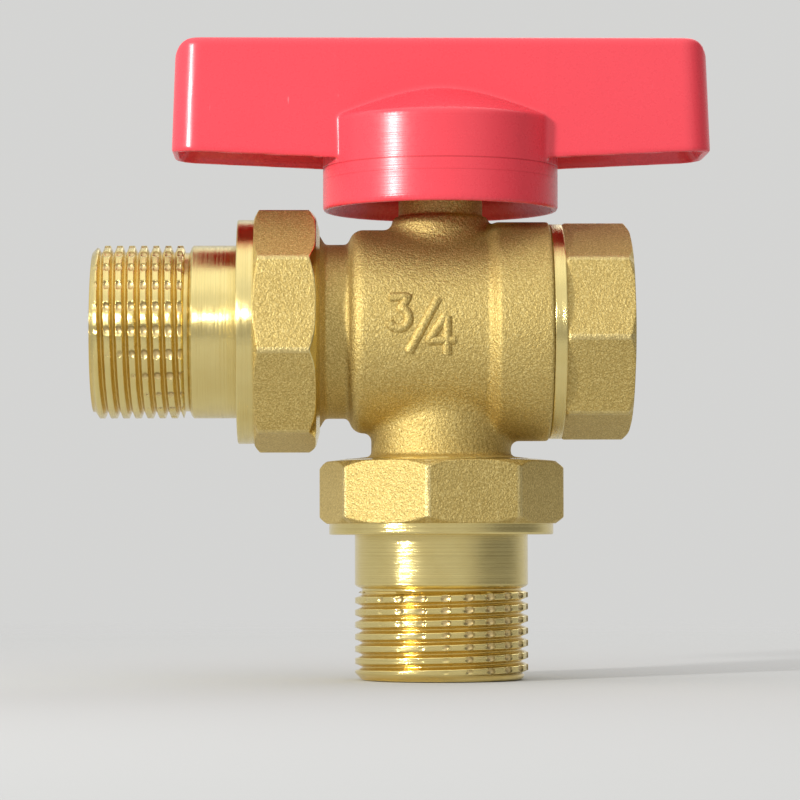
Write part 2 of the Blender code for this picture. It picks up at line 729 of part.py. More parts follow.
def arm_levels(inset):
    """Heights of the arm's sections with how far its ends and its sides have drawn in there."""
    top = handle_top - inset
    end_round = max(ARM_END_ROUND - inset, ARM_TOP_ROUND)
    levels = [(top - end_round, 0.0, 0.0)]
    count = 2 * BEND_STEPS
    for step in range(1, count + 1):
        turn = math.pi / 2 * step / count
        height = top - end_round * (1 - math.sin(turn))
        into_top = max(0.0, height - (top - ARM_TOP_ROUND))
        side = ARM_TOP_ROUND - math.sqrt(max(0.0, ARM_TOP_ROUND**2 - into_top**2))
        levels.append((height, end_round * (1 - math.cos(turn)), side))
    return levels


def arm_shape(name, inset, bottom):
    """Both arms as one loft of rounded sections that draw in from the bottom up."""
    mesh = bpy.data.meshes.new(name)
    shape = bmesh.new()
    corner = ARM_CORNER_ROUND - inset
    rings = []
    for height, end, side in [(bottom, 0.0, 0.0), *arm_levels(inset)]:
        drawn = inset + draft * (height - arm_bottom)
        outline = rounded_rectangle(
            ARM_HALF_LENGTH - drawn - end, ARM_HALF_WIDTH - drawn - side, corner - side
        )
        rings.append([shape.verts.new((x, y, height)) for x, y in outline])
    count = len(rings[0])
    for below, above in zip(rings, rings[1:]):
        for i in range(count):
            shape.faces.new((below[i], below[(i + 1) % count], above[(i + 1) % count], above[i]))
    shape.faces.new(rings[-1])
    shape.faces.new(reversed(rings[0]))
    shape.to_mesh(mesh)
    shape.free()
    return placed(name, mesh, UP)


def underside_wedge():
    """Cutter that makes the arms' underside rise from the hub to their ends."""
    reach = ARM_HALF_LENGTH + OVERCUT
    rise = ARM_BOTTOM_RISE * reach / ARM_HALF_LENGTH
    outline = [(-reach, rise), (-reach, -OVERCUT), (reach, -OVERCUT), (reach, rise), (0, 0)]
    mesh = bpy.data.meshes.new("underside_wedge")
    shape = bmesh.new()
    front = [shape.verts.new((x, -reach, arm_bottom + z)) for x, z in outline]
    back = [shape.verts.new((x, reach, arm_bottom + z)) for x, z in outline]
    count = len(outline)
    for i in range(count):
        shape.faces.new((front[(i + 1) % count], front[i], back[i], back[(i + 1) % count]))
    shape.faces.new(front)
    shape.faces.new(reversed(back))
    bmesh.ops.triangulate(shape, faces=shape.faces)
    shape.to_mesh(mesh)
    shape.free()
    return placed("underside_wedge", mesh, UP)


def make_handle(parent):
    """Moulded T-handle: hollow arms and hub of one wall, with the stem's socket and ribs inside."""
    handle = arm_shape("handle", 0.0, arm_bottom)
    combine(handle, "DIFFERENCE", underside_wedge())
    cone_tip = hub_top + hub_radius * hub_slope
    hub = turned(
        "hub_outside",
        [
            (0, cone_tip, 0),
            (hub_radius, hub_top, 0),
            (hub_radius, hub_bottom, HUB_RIM_ROUND),
            (0, hub_bottom, 0),
        ],
        BODY_STEPS,
    )
    hollow = turned(
        "hub_inside",
        sharp([
            (0, cone_tip - cone_wall),
            (hub_inner, hub_top + HANDLE_WALL * hub_slope - cone_wall),
            (hub_inner, hub_bottom - OVERCUT),
            (0, hub_bottom - OVERCUT),
        ]),
        BODY_STEPS,
    )
    post = turned(
        "stem_socket",
        sharp([
            (0, handle_top - HANDLE_WALL / 2),
            (POST_RADIUS, handle_top - HANDLE_WALL / 2),
            (POST_RADIUS, post_bottom),
            (0, post_bottom),
        ]),
        SMALL_STEPS,
    )
    recess = turned(
        "screw_recess",
        sharp([
            (0, handle_top + OVERCUT),
            (RECESS_RADIUS, handle_top + OVERCUT),
            (RECESS_RADIUS, recess_floor),
            (screw_hole, recess_floor),
            (screw_hole, web_bottom - POST_WEB / 2),
            (0, web_bottom - POST_WEB / 2),
        ]),
        SMALL_STEPS,
    )
    socket_radius = DRIVE_RADIUS + FIT_GAP
    socket = turned(
        "drive_socket",
        sharp([
            (0, web_bottom),
            (socket_radius, web_bottom),
            (socket_radius, post_bottom - OVERCUT),
            (0, post_bottom - OVERCUT),
        ]),
        SMALL_STEPS,
    )
    flat = DRIVE_FLAT + FIT_GAP
    wide = socket_radius + OVERCUT
    low = (-wide, -flat, post_bottom - 2 * OVERCUT)
    combine(socket, "INTERSECT", block("socket_flats", low, (wide, flat, web_bottom + OVERCUT)))
    combine(handle, "UNION", hub)
    combine(handle, "DIFFERENCE", arm_shape("arm_inside", HANDLE_WALL, arm_bottom - OVERCUT))
    combine(handle, "DIFFERENCE", half_step_on(hollow))
    combine(handle, "UNION", post)
    for rib in arm_ribs():
        combine(handle, "UNION", rib)
    combine(handle, "UNION", stop_rib())
    combine(handle, "DIFFERENCE", half_step_on(recess))
    combine(handle, "DIFFERENCE", half_step_on(socket))
    settle(handle, RED_PLASTIC, parent)


def arm_ribs():
    """Long rib down the middle of both arms, and cross ribs at even steps out from the hub."""
    low = arm_bottom + ARM_BOTTOM_RISE + RIB_CLEAR
    high = handle_top - HANDLE_WALL / 2
    half = RIB_THICKNESS / 2
    last = hub_radius + ARM_RIBS * RIB_PITCH
    wide = ARM_HALF_WIDTH - HANDLE_WALL / 2 - draft * (handle_top - arm_bottom)
    ribs = []
    for side in (-1, 1):
        ends = sorted((side * (RECESS_RADIUS + POST_RADIUS) / 2, side * last))
        ribs.append(block("long_rib", (ends[0], -half, low), (ends[1], half, high)))
        for step in range(1, ARM_RIBS + 1):
            x = side * (hub_radius + step * RIB_PITCH)
            ribs.append(block("cross_rib", (x - half, -wide, low), (x + half, wide, high)))
    return ribs


def stop_rib():
    """Rib on the hub's inner wall that meets the body's stop at either end of the half turn."""
    low = (-STOP_RIB_HALF, hub_inner - STOP_RIB_REACH, hub_bottom + STOP_RIB_DROP)
    high = (STOP_RIB_HALF, hub_inner + HANDLE_WALL / 2, hub_top - STOP_RIB_DROP)
    return block("stop_rib", low, high)


def make_handle_fastening(parent):
    washer = [
        (WASHER_RADIUS, washer_top),
        (WASHER_RADIUS, washer_bottom),
        (screw_hole, washer_bottom),
        (screw_hole, washer_top),
    ]
    settle(turned("handle_washer", sharp(washer), SMALL_STEPS, ring=True), STEEL, parent)
    head_top = screw_seat + SCREW_HEAD_HEIGHT
    screw = turned(
        "handle_screw",
        [
            (0, head_top, 0),
            (SCREW_HEAD_RADIUS, head_top, SCREW_HEAD_ROUND),
            (SCREW_HEAD_RADIUS, screw_seat, 0),
            (SCREW_RADIUS, screw_seat, 0),
            (SCREW_RADIUS, screw_tip, EDGE_CHAMFER),
            (0, screw_tip, 0),
        ],
        SMALL_STEPS,
    )
    settle(screw, STEEL, parent)


def main():
    handle_axis = axis_empty("handle_axis")
    left_axis = axis_empty("left_union_axis")
    bottom_axis = axis_empty("bottom_union_axis")
    make_body()
    make_end_cap()
    make_seat("left", LEFT)
    make_seat("right", RIGHT)
    make_ball(handle_axis)
    make_stem(handle_axis)
    make_handle(handle_axis)
    make_handle_fastening(handle_axis)
    make_union("left", LEFT, LEFT_NUT_TURN, left_axis)
    make_union("bottom", DOWN, BOTTOM_NUT_TURN, bottom_axis)


main()
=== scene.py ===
"""Looks of the three-way ball valve: fine shape and finish of every piece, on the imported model's frame.

Metres, +Z up, origin at the ball's centre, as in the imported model. Pieces of a port are made along their own
+Z and then turned to the port. Forged and moulded pieces are solids where a distance field is negative.
"""

import math
from functools import reduce

import bmesh
import bpy
from mathutils import Matrix, Vector


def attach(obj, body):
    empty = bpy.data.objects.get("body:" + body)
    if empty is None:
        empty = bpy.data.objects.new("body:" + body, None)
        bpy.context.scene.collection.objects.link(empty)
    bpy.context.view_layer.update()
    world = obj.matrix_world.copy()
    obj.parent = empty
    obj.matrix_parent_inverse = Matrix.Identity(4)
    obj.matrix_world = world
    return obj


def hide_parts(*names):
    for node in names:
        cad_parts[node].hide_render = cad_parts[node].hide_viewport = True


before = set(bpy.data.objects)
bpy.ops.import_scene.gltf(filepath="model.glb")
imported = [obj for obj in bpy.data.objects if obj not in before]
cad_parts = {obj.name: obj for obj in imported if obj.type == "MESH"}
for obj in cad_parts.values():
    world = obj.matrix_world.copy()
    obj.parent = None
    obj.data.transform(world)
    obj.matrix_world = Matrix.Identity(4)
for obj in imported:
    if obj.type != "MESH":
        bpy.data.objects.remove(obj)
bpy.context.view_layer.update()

# Camera, as found from the outlines in the photograph
PHOTO_PIXELS = 800
FOCAL_PIXELS = 3451.5
SENSOR_WIDTH = 36.0
CAMERA_PLACE = (-0.018216, -0.518990, -0.031747)
CAMERA_PITCH = 0.04133
CAMERA_YAW = 0.02323
CAMERA_ROLL = -0.00229
CAMERA_CLIP = (0.01, 10)

# Turns about Y that bring a piece's own +Z to its port
UP = 0.0
LEFT = -math.pi / 2
RIGHT = math.pi / 2
DOWN = math.pi

# Sizes of each piece. Those of NUT and CAP shape outlines, the others become the inputs of a node tree
BODY = {
    "Barrel radius": 0.0153,
    "Barrel left": 0.0138,
    "Shoulder round": 0.0021,
    "Collar step": 0.0012,
    "Collar ramp start": 0.0065,
    "Collar ramp end": 0.0085,
    "Body right": 0.0162,
    "Neck radius": 0.0131,
    "Neck fillet": 0.0008,
    "Bottom neck radius": 0.0105,
    "Bottom neck fillet": 0.0012,
    "Bottom neck inset": 0.0050,
    "Flare radius": 0.0146,
    "Left flare fillet": 0.0003,
    "Left flare start": 0.0174,
    "Left flare end": 0.0183,
    "Bottom flare fillet": 0.0007,
    "Bottom flare start": 0.0188,
    "Bottom flare end": 0.0193,
    "Spigot start": 0.01895,
    "Spigot end": 0.02295,
    "Spigot core": 0.0136,
    "Boss radius": 0.0063,
    "Boss bottom": 0.0120,
    "Boss top": 0.0230,
    "Boss foot": 0.0071,
    "Boss foot bottom": 0.0100,
    "Boss foot slope": 0.26,
    "Boss ledge": 0.0172,
    "Boss fillet": 0.0010,
    "Stop radius": 0.0115,
    "Stop thickness": 0.0018,
    "Stop face": 0.0023,
    "Edge": 0.0004,
    "Port radius": 0.0072,
    "Chamber radius": 0.0121,
    "Chamber end": 0.0064,
    "Seat pocket radius": 0.0110,
    "Seat pocket end": 0.0130,
    "Cap bore radius": 0.0134,
    "Cap bore start": 0.0061,
    "Stem bore radius": 0.0045,
    "Stem pocket radius": 0.0059,
    "Stem pocket bottom": 0.0083,
    "Stem pocket top": 0.0145,
}
NUT = {
    "flat radius": 0.0171,
    "collar radius": 0.01685,
    "collar edge": 0.0003,
    "face": 0.03055,
    "bore radius": 0.0149,
    "lip start": 0.02815,
    "lip radius": 0.0133,
}
CAP = {
    "flat radius": 0.01515,
    "end": 0.0282,
    "ring radius": 0.0162,
    "ring start": 0.01622,
    "ring end": 0.0181,
    "ring edge": 0.0002,
    "flat start": 0.0185,
    "spigot radius": 0.0131,
    "spigot start": 0.0064,
    "seal groove radius": 0.0115,
    "seal groove start": 0.0142,
    "socket radius": 0.01206,
    "socket bottom": 0.0177,
    "socket chamfer": 0.0009,
    "thread pitch": 0.001814,
    "thread depth": 0.0009,
    "thread crest share": 1 / 3,
    "thread root share": 1 / 6,
    "port radius": 0.0072,
    "seat pocket radius": 0.0110,
    "seat pocket end": 0.0130,
}
HANDLE = {
    "Arm bottom": 0.02465,
    "Arm half length": 0.04035,
    "Arm half width": 0.0090,
    "Arm corner": 0.0041,
    "Arm rise": 0.00185,
    "Top": 0.0435,
    "Top edge": 0.0010,
    "End round": 0.0030,
    "Hub radius": 0.0177,
    "Hub bottom": 0.0182,
    "Hub top": 0.0317,
    "Hub rim": 0.0003,
    "Rim taper": 0.0012,
    "Rim height": 0.0030,
    "Hub fillet": 0.0004,
    "Wall": 0.0020,
    "Post radius": 0.0068,
    "Post bottom": 0.0236,
    "Web bottom": 0.0333,
    "Recess floor": 0.0360,
    "Recess radius": 0.0050,
    "Recess edge": 0.0003,
    "Screw hole": 0.00225,
    "Socket radius": 0.0039,
    "Socket flat": 0.0029,
    "Rib half": 0.0008,
    "Rib bottom": 0.0295,
    "Rib pitch": 0.0090,
    "Stop rib half": 0.0020,
    "Stop rib start": 0.0086,
    "Stop rib bottom": 0.0197,
    "Stop rib top": 0.0302,
}
BALL = {
    "Radius": 0.0115,
    "Port radius": 0.0072,
    "Bottom port radius": 0.0068,
    "Port edge": 0.0004,
    "Slot half": 0.0023,
    "Slot floor": 0.0083,
}
SCREW = {
    "Seat": 0.0375,
    "Head radius": 0.0036,
    "Head height": 0.0024,
    "Head round": 0.0010,
    "Shank radius": 0.00195,
    "Tip": 0.0275,
    "Tip round": 0.0004,
    "Cross half width": 0.00045,
    "Cross reach": 0.0021,
    "Cross depth": 0.0016,
    "Cross taper": 0.3,
}
PIPE_THREAD = {
    "Crest radius": 0.0130,
    "Pitch": 0.001814,
    "Phase": 0.0,
    "Depth": 0.00100,
    "Crest share": 4 / 9,
    "Root share": 1 / 9,
    "Start": 0.0,
    "Length": 0.0140,
    "First row": 0.0,
    "Last row": 0.0512,
    "Notches": 23.0,
    "Notch phase": 0.0,
    "Notch depth": 0.00042,
    "Notch side": 0.0,
    "Notch reach": 0.0,
    "Notch shade": 1.0,
}
UNION_THREAD = {
    **PIPE_THREAD,
    "Crest radius": 0.0146,
    "Pitch": 0.0015,
    "Depth": 0.0008,
    "Crest share": 3 / 9,
    "Start": 0.0188,
    "Length": 0.0042,
    "First row": 0.0192,
    "Last row": 0.02255,
    "Notches": 1.0,
    "Notch depth": 0.0,
}

# Slopes, turns, the cross ribs' rib pitches from the hub, and the cap's chamfer as land and slope
DRAFT = math.tan(math.radians(2))
HUB_CONE = math.radians(24)
RIB_STEPS = (1.0, 2.0)
CAP_CHAMFER = (0.00020, 0.80)
CAP_TURN = math.radians(6.2)

# What differs between the two unions as they stand on the valve. A chamfer is its land and slope
LEFT_UNION = {
    "nut turn": math.radians(33.2),
    "nut opening": 0.01815,
    "nut rear": 0.01875,
    "nut rear chamfer": (0.00030, 0.95),
    "nut rear finish": "turned",
    "nut shoulder": 0.0280,
    "nut front chamfer": (0.00005, 0.53),
    "smooth end": 0.0374,
    "relief end": 0.0386,
    "thread": {
        "Start": 0.0375,
        "Phase": 0.563,
        "Notch phase": 0.916,
        "Notch side": 0.0,
        "Notch reach": 1.24,
        "Notch shade": -1.0,
    },
}
BOTTOM_UNION = {
    "nut turn": math.radians(8),
    "nut opening": 0.01925,
    "nut rear": 0.01955,
    "nut rear chamfer": (0.00035, 1.00),
    "nut rear finish": "forged",
    "nut shoulder": 0.0289,
    "nut front chamfer": (0.00015, 0.79),
    "smooth end": 0.0383,
    "relief end": 0.0392,
    "thread": {
        "Start": 0.0384,
        "Phase": 0.260,
        "Notch phase": 0.790,
        "Notch side": math.pi,
        "Notch reach": 1.00,
    },
}

# Tailpieces and gaskets: outline radii and heights, and the steps round a gasket
TAIL_BORE = 0.0096
TAIL_END = 0.0522
TAIL_CHAMFER = 0.0010
TAIL_RADIUS = 0.0130
SMOOTH_CHAMFER = 0.0003
RELIEF_RADIUS = 0.01195
FLANGE_RADIUS = 0.0142
FLANGE_START = 0.02535
FLANGE_END = 0.02785
GASKET_START = 0.02325
GASKET_END = 0.02505
GASKET_STEPS = 128

# Ring that carries a spigot's union thread: its hidden parts lie inside the spigot
RING_BORE = 0.0106
RING_BORE_START = 0.01945
RING_BORE_END = 0.02290
RING_FOOT = 0.0126
RING_FOOT_START = 0.019075
RING_RIM = 0.0141

# Threads: rows for each turn, steps round, the skin that moves, and where the cut fades in
THREAD_ROWS = 18
THREAD_STEPS = 384
SOCKET_ROWS = 12
SKIN_UNDER_ROOT = 0.0005
CREST_SKIN = 0.0001
ROW_MARGIN = 0.00001
ROW_FADE = 0.0003
CUT_FADE = (0.0, 0.001)

# Notches across the crests, and which parts of them the finish darkens: their floors, and as painted shade a
# line along one wall of each dent
NOTCH_ROUND = 0.6
NOTCH_FADE = 0.8
NOTCH_WIDTH = 0.46
NOTCH_SIDE_ROUND = 0.35
CREST_CUT = (0.3, 0.1)
DENT_FLOOR = (0.1, 0.5)
DENT_SHADED_SIDE = (-0.3, 0.3)
DENT_EDGE = 0.15
DENT_EDGE_FADE = (0.5, 0.1)
DENT_WORN = (0.3, 0.7)

# Corners of outlines: roundings, the steps of their arcs, and the most of a side that one takes
TURNED_EDGE = 0.00005
FORGED_EDGE = 0.00018
ARC_STEPS = (0, 1 / 3, 2 / 3, 1)
ARC_ROOM = 0.35
ARC_SUPPORT = 1.3
CORNER_ROWS = len(ARC_STEPS) + 2

# Wrench flats, and the corners of outlines between which they are forged: a nut's by its rear's finish
FLATS = 8
FLAT_STEPS = 10
NUT_FORGED = {"forged": (1, 4), "turned": (2, 4)}
CAP_FORGED = (7, 10)

# Size mark on the barrel: strokes of (along the barrel, up round it), and the arc of the first figure
MARK_STROKES = [
    [(-0.00796, 0.00423), (-0.00525, 0.00433), (-0.00639, 0.00257)],
    [(-0.00087, 0.00412), (-0.00519, -0.00392)],
    [(0.00019, 0.00153), (-0.00229, -0.00222), (0.00153, -0.00214)],
    [(0.00042, 0.00138), (0.00042, -0.00421)],
]
MARK_ARC_CENTRE = (-0.00668, 0.00110)
MARK_ARC_RADIUS = 0.0015
MARK_ARC_FROM = math.radians(78)
MARK_ARC_TO = math.radians(-159)
MARK_WIDTH = 0.0017
MARK_SUNK = 0.00042
MARK_STEP = 0.0003
MARK_ROUNDNESS = 3

# Mould lines round the handle's hub: height and half width
MOULD_LINES = [(0.0246, 0.00016), (0.0228, 0.00012)]

# Boxes in which skins are grown, with their cell size, and the share of faces that two of them keep
GRIDS = {
    "body": ((-0.0236, -0.0172, -0.0236), (0.0168, 0.0172, 0.0236), 0.00028),
    "handle": ((-0.0412, -0.0184, 0.0176), (0.0412, 0.0184, 0.0441), 0.00030),
    "ball": ((-0.0119,) * 3, (0.0119,) * 3, 0.00030),
    "screw": ((-0.004, -0.004, 0.0270), (0.004, 0.004, 0.0404), 0.00011),
}
BODY_THINNED = 0.55
HANDLE_THINNED = 0.45

# Scale of the fields that skins grow from, the skin that counts as bored, and a cut's overshoot
FIELD_SCALE = -1000.0
BORE_SKIN = 0.0001
OVERCUT = 0.001

# Finishes. Noises are scale, detail and roughness, colours are linear and depths are in metres
FORGED = {
    "grain": (4300.0, 2.0, 0.6),
    "pits": (2100.0, 1.0),
    "drift": (120.0, 3.0),
    "dark": (0.60, 0.450, 0.155, 1),
    "light": (0.68, 0.525, 0.190, 1),
    # Grain tones, partly painted light: hollow is painted shade where the grain's bump is low, spark is
    # painted sparkle where it is high
    "hollow": (0.34, 0.225, 0.060, 1),
    "hollow range": (0.58, 0.36),
    "spark": (0.90, 0.765, 0.370, 1),
    "spark range": (0.52, 0.68),
    "grain share": 0.50,
    "rubbed": (0.80, 0.66, 0.32, 1),
    "rubbed range": (0.35, 1.0),
    "rubbed share": 0.35,
    "roughness": 0.50,
    "grain roughness": 0.16,
    "rubbed polish": 0.14,
    "depth": 0.00011,
}
TURNED = {
    "lines": 7000.0,
    "fine lines": 30000.0,
    "slant": 0.73,
    "smears": (240.0, 3.0),
    "dark": (0.74, 0.585, 0.220, 1),
    "light": (0.85, 0.715, 0.320, 1),
    "line": (0.56, 0.415, 0.130, 1),
    "line range": (0.55, 0.25),
    "line share": 0.25,
    # Painted shade in the thread grooves, by the depth of the cut
    "groove": (0.68, 0.450, 0.110, 1),
    "groove share": 0.55,
    "dent": (0.66, 0.480, 0.250, 1),
    "dent share": 0.6,
    # Painted shade along one wall of each dent
    "dent painted shade": (0.20, 0.120, 0.030, 1),
    "dent painted shade share": 0.80,
    "roughness": 0.10,
    "smear roughness": 0.08,
    "line roughness": 0.06,
    "dent roughness": 0.2,
    "line height": 0.4,
    "depth": {"x": 0.000020, "z": 0.000008},
}
RED = {
    "hub range": (0.0005, 0.0002),
    "ripple": (90.0, 2.0),
    "rub": (700.0, 4.0, 0.7),
    "scratches": (2600.0, 1.0),
    "scratch stretch": (1.0, 1.0, 0.16),
    "scratch range": (0.72, 0.78),
    "scratched range": (0.54, 0.66),
    "hub lines": 5200.0,
    "dark": (0.80, 0.056, 0.078, 1),
    "light": (0.84, 0.061, 0.085, 1),
    "mould": (0.42, 0.008, 0.014, 1),
    "mould share": 0.7,
    "second mould": 0.5,
    "scratch": (0.95, 0.50, 0.52, 1),
    "scratch share": 0.25,
    "roughness": 0.20,
    "rub roughness": 0.16,
    "scratch roughness": 0.2,
    "line height": 3.0,
    "mould depth": 4.0,
    "depth": 0.00001,
    "strength": 0.5,
}
PLAIN = {"detail": 3.0, "roughness": 0.15, "depth": 0.00002, "strength": 0.4}

# Plain finishes: two tones, roughness, metallic and mottle scale
PLAIN_FINISHES = {
    "chrome": ((0.70, 0.71, 0.73, 1), (0.80, 0.81, 0.83, 1), 0.05, 1.0, 400.0),
    "steel": ((0.52, 0.52, 0.51, 1), (0.66, 0.66, 0.64, 1), 0.24, 1.0, 900.0),
    "seat_plastic": ((0.80, 0.80, 0.77, 1), (0.88, 0.88, 0.86, 1), 0.4, 0.0, 600.0),
    "rubber": ((0.018, 0.018, 0.018, 1), (0.035, 0.035, 0.034, 1), 0.55, 0.0, 1500.0),
}

# Stage: floor, backdrop, the room that the valve faces, and the lamps' places, sizes and powers
FLOOR_HEIGHT = -0.0523
FLOOR_HALF = 1.5
FLOOR_FADE = (0.10, 0.42)
FLOOR_COLOUR = (0.55, 0.55, 0.54, 1)
BACKDROP = (0.66, 0.66, 0.65, 1)
BACKDROP_RANGE = (0.1, 0.9)
ROOM_LOW = (0.48, 0.48, 0.48, 1)
ROOM_HIGH = (1.00, 1.00, 1.00, 1)
ROOM_RANGE = (-0.05, 0.45)
SHADE = (0.18, 0.18, 0.18, 1)
SHADE_RANGE = (0.45, 0.9)
LAMPS = {
    "key": ((-0.50, -0.45, 0.15), 0.06, 3.7),
    "top": ((-0.10, -0.10, 0.60), 0.80, 0.5),
    "back": ((0.25, 0.45, 0.40), 0.60, 0.9),
}


class Wire:
    """Output of a node. Arithmetic on it adds Math nodes to its tree."""

    def __init__(self, tree, socket):
        self.tree = tree
        self.socket = socket

    def out(self, name):
        """Another output of the same node."""
        return Wire(self.tree, self.socket.node.outputs[name])

    def math(self, operation, *others):
        return add(self.tree, "ShaderNodeMath", {"operation": operation}, [self, *others])

    def __add__(self, other):
        return self.math("ADD", other)

    def __sub__(self, other):
        return self.math("SUBTRACT", other)

    def __rsub__(self, other):
        return add(self.tree, "ShaderNodeMath", {"operation": "SUBTRACT"}, [other, self])

    def __mul__(self, other):
        return self.math("MULTIPLY", other)

    def __truediv__(self, other):
        return self.math("DIVIDE", other)

    def __neg__(self):
        return self * -1.0

    def __abs__(self):
        return self.math("ABSOLUTE")

    __radd__ = __add__
    __rmul__ = __mul__


def add(tree, kind, settings=None, inputs=(), output=0):
    """New node: its settings first, then values or links of its sockets by place or name."""
    node = tree.nodes.new(kind)
    for key, value in (settings or {}).items():
        setattr(node, key, value)
    pairs = inputs.items() if isinstance(inputs, dict) else enumerate(inputs)
    for key, value in pairs:
        if isinstance(value, Wire):
            tree.links.new(value.socket, node.inputs[key])
        else:
            node.inputs[key].default_value = value
    return Wire(tree, node.outputs[output])


def axes_of(place):
    """The three coordinates of a place."""
    axes = add(place.tree, "ShaderNodeSeparateXYZ", {}, [place])
    return axes.out("X"), axes.out("Y"), axes.out("Z")


def least(*fields):
    return reduce(lambda a, b: a.math("MINIMUM", b), fields)


def most(*fields):
    return reduce(lambda a, b: a.math("MAXIMUM", b), fields)


def length(a, b):
    return (a * a + b * b).math("SQRT")


def smooth_step(value, start, end):
    return add(
        value.tree, "ShaderNodeMapRange", {"interpolation_type": "SMOOTHSTEP"},
        {"Value": value, "From Min": start, "From Max": end},
    )


def rod(radial, along, radius, low, high, rounding=0.0):
    """Round bar between two heights, with its rims rounded."""
    ends = abs(along - (low + high) / 2) - ((high - low) / 2 - rounding)
    sides = radial - (radius - rounding)
    outside = length(most(sides, 0.0), most(ends, 0.0))
    return outside + least(most(sides, ends), 0.0) - rounding


def joined(a, b, fillet):
    """Both solids, with a hollow fillet where they meet."""
    return most(least(a, b), fillet) - length(most(fillet - a, 0.0), most(fillet - b, 0.0))


def kept(a, b, rounding):
    """Where both solids are, with a rounded edge."""
    return least(most(a, b), -1.0 * rounding) + length(most(a + rounding, 0.0), most(b + rounding, 0.0))


def in_scene(name, data):
    obj = bpy.data.objects.new(name, data)
    bpy.context.scene.collection.objects.link(obj)
    return obj


class Shape:
    """Geometry Nodes tree of one piece, with its sizes as named inputs."""

    def __init__(self, name, sizes, base=None):
        self.name = name
        self.sizes = sizes
        self.base = base
        self.tree = bpy.data.node_groups.new(name, "GeometryNodeTree")
        face = self.tree.interface
        if base:
            face.new_socket("Geometry", in_out="INPUT", socket_type="NodeSocketGeometry")
        self.sockets = {}
        for key in sizes:
            self.sockets[key] = face.new_socket(key, in_out="INPUT", socket_type="NodeSocketFloat")
        face.new_socket("Geometry", in_out="OUTPUT", socket_type="NodeSocketGeometry")
        entry = self.tree.nodes.new("NodeGroupInput")
        self.geometry = Wire(self.tree, entry.outputs[0])
        self.size = {key: Wire(self.tree, entry.outputs[key]) for key in sizes}

    def add(self, kind, settings=None, inputs=(), output=0):
        return add(self.tree, kind, settings, inputs, output)

    def position(self):
        return axes_of(self.add("GeometryNodeInputPosition"))

    def grow(self, field, low, high, voxel):
        """Skin of the solid where the distance field is negative."""
        cells = {f"Resolution {axis}": round((b - a) / voxel) for axis, a, b in zip("XYZ", low, high)}
        corners = {"Min": low, "Max": high}
        density = {"Density": field * FIELD_SCALE, "Background": -1.0}
        volume = self.add("GeometryNodeVolumeCube", {}, {**density, **corners, **cells})
        skin = self.add(
            "GeometryNodeVolumeToMesh", {"resolution_mode": "GRID"}, {"Volume": volume, "Threshold": 0.0}
        )
        self.geometry = self.add("GeometryNodeSetShadeSmooth", {}, {"Geometry": skin})

    def keep(self, name, value):
        """Stores a value on the points for the finish to read."""
        settings = {"data_type": "FLOAT", "domain": "POINT"}
        inputs = {"Geometry": self.geometry, "Name": name, "Value": value}
        self.geometry = self.add("GeometryNodeStoreNamedAttribute", settings, inputs)

    def finish(self, material, selection=None):
        inputs = {"Geometry": self.geometry, "Material": material}
        if selection:
            inputs["Selection"] = selection
        self.geometry = self.add("GeometryNodeSetMaterial", {}, inputs)

    def piece(self, name, body, nodes, port=UP, thinned=None):
        """The finished piece as a plain mesh in place, riding on a body for the solids that it stands for.
        A fine skin is thinned."""
        solid = self.add("GeometryNodeRealizeInstances", {}, {"Geometry": self.geometry})
        leave = self.tree.nodes.new("NodeGroupOutput")
        self.tree.links.new(solid.socket, leave.inputs[0])
        obj = in_scene(name, self.base or bpy.data.meshes.new(name))
        modifier = obj.modifiers.new("Shape", "NODES")
        modifier.node_group = self.tree
        for key, value in self.sizes.items():
            modifier[self.sockets[key].identifier] = value
        if thinned:
            obj.modifiers.new("Thin", "DECIMATE").ratio = thinned
        graph = bpy.context.evaluated_depsgraph_get()
        mesh = bpy.data.meshes.new_from_object(
            obj.evaluated_get(graph), preserve_all_data_layers=True, depsgraph=graph
        )
        obj.modifiers.clear()
        obj.data = mesh
        return settled(obj, body, nodes, port)


def settled(obj, body, nodes, port=UP):
    obj.data.name = obj.name
    obj.data.transform(Matrix.Rotation(port, 4, "Y"))
    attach(obj, body)
    if nodes:
        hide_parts(*nodes)
    return obj


def helix_phase(x, y, z, pitch, phase):
    """Where a point is across a right-hand thread: 0 and 1 mid crest, 0.5 in the middle of a groove."""
    turn = y.math("ARCTAN2", x) / (2 * math.pi)
    return (z / pitch - turn - phase).math("FRACT")


def groove_depth(phase, crest, root):
    """How deep a thread is cut, from 0 on a crest to 1 at the root."""
    off_root = abs(phase * 2.0 - 1.0)
    return add(
        phase.tree, "ShaderNodeMapRange", {"clamp": True},
        {"Value": off_root, "From Min": root, "From Max": 1.0 - crest, "To Min": 1.0, "To Max": 0.0},
    )


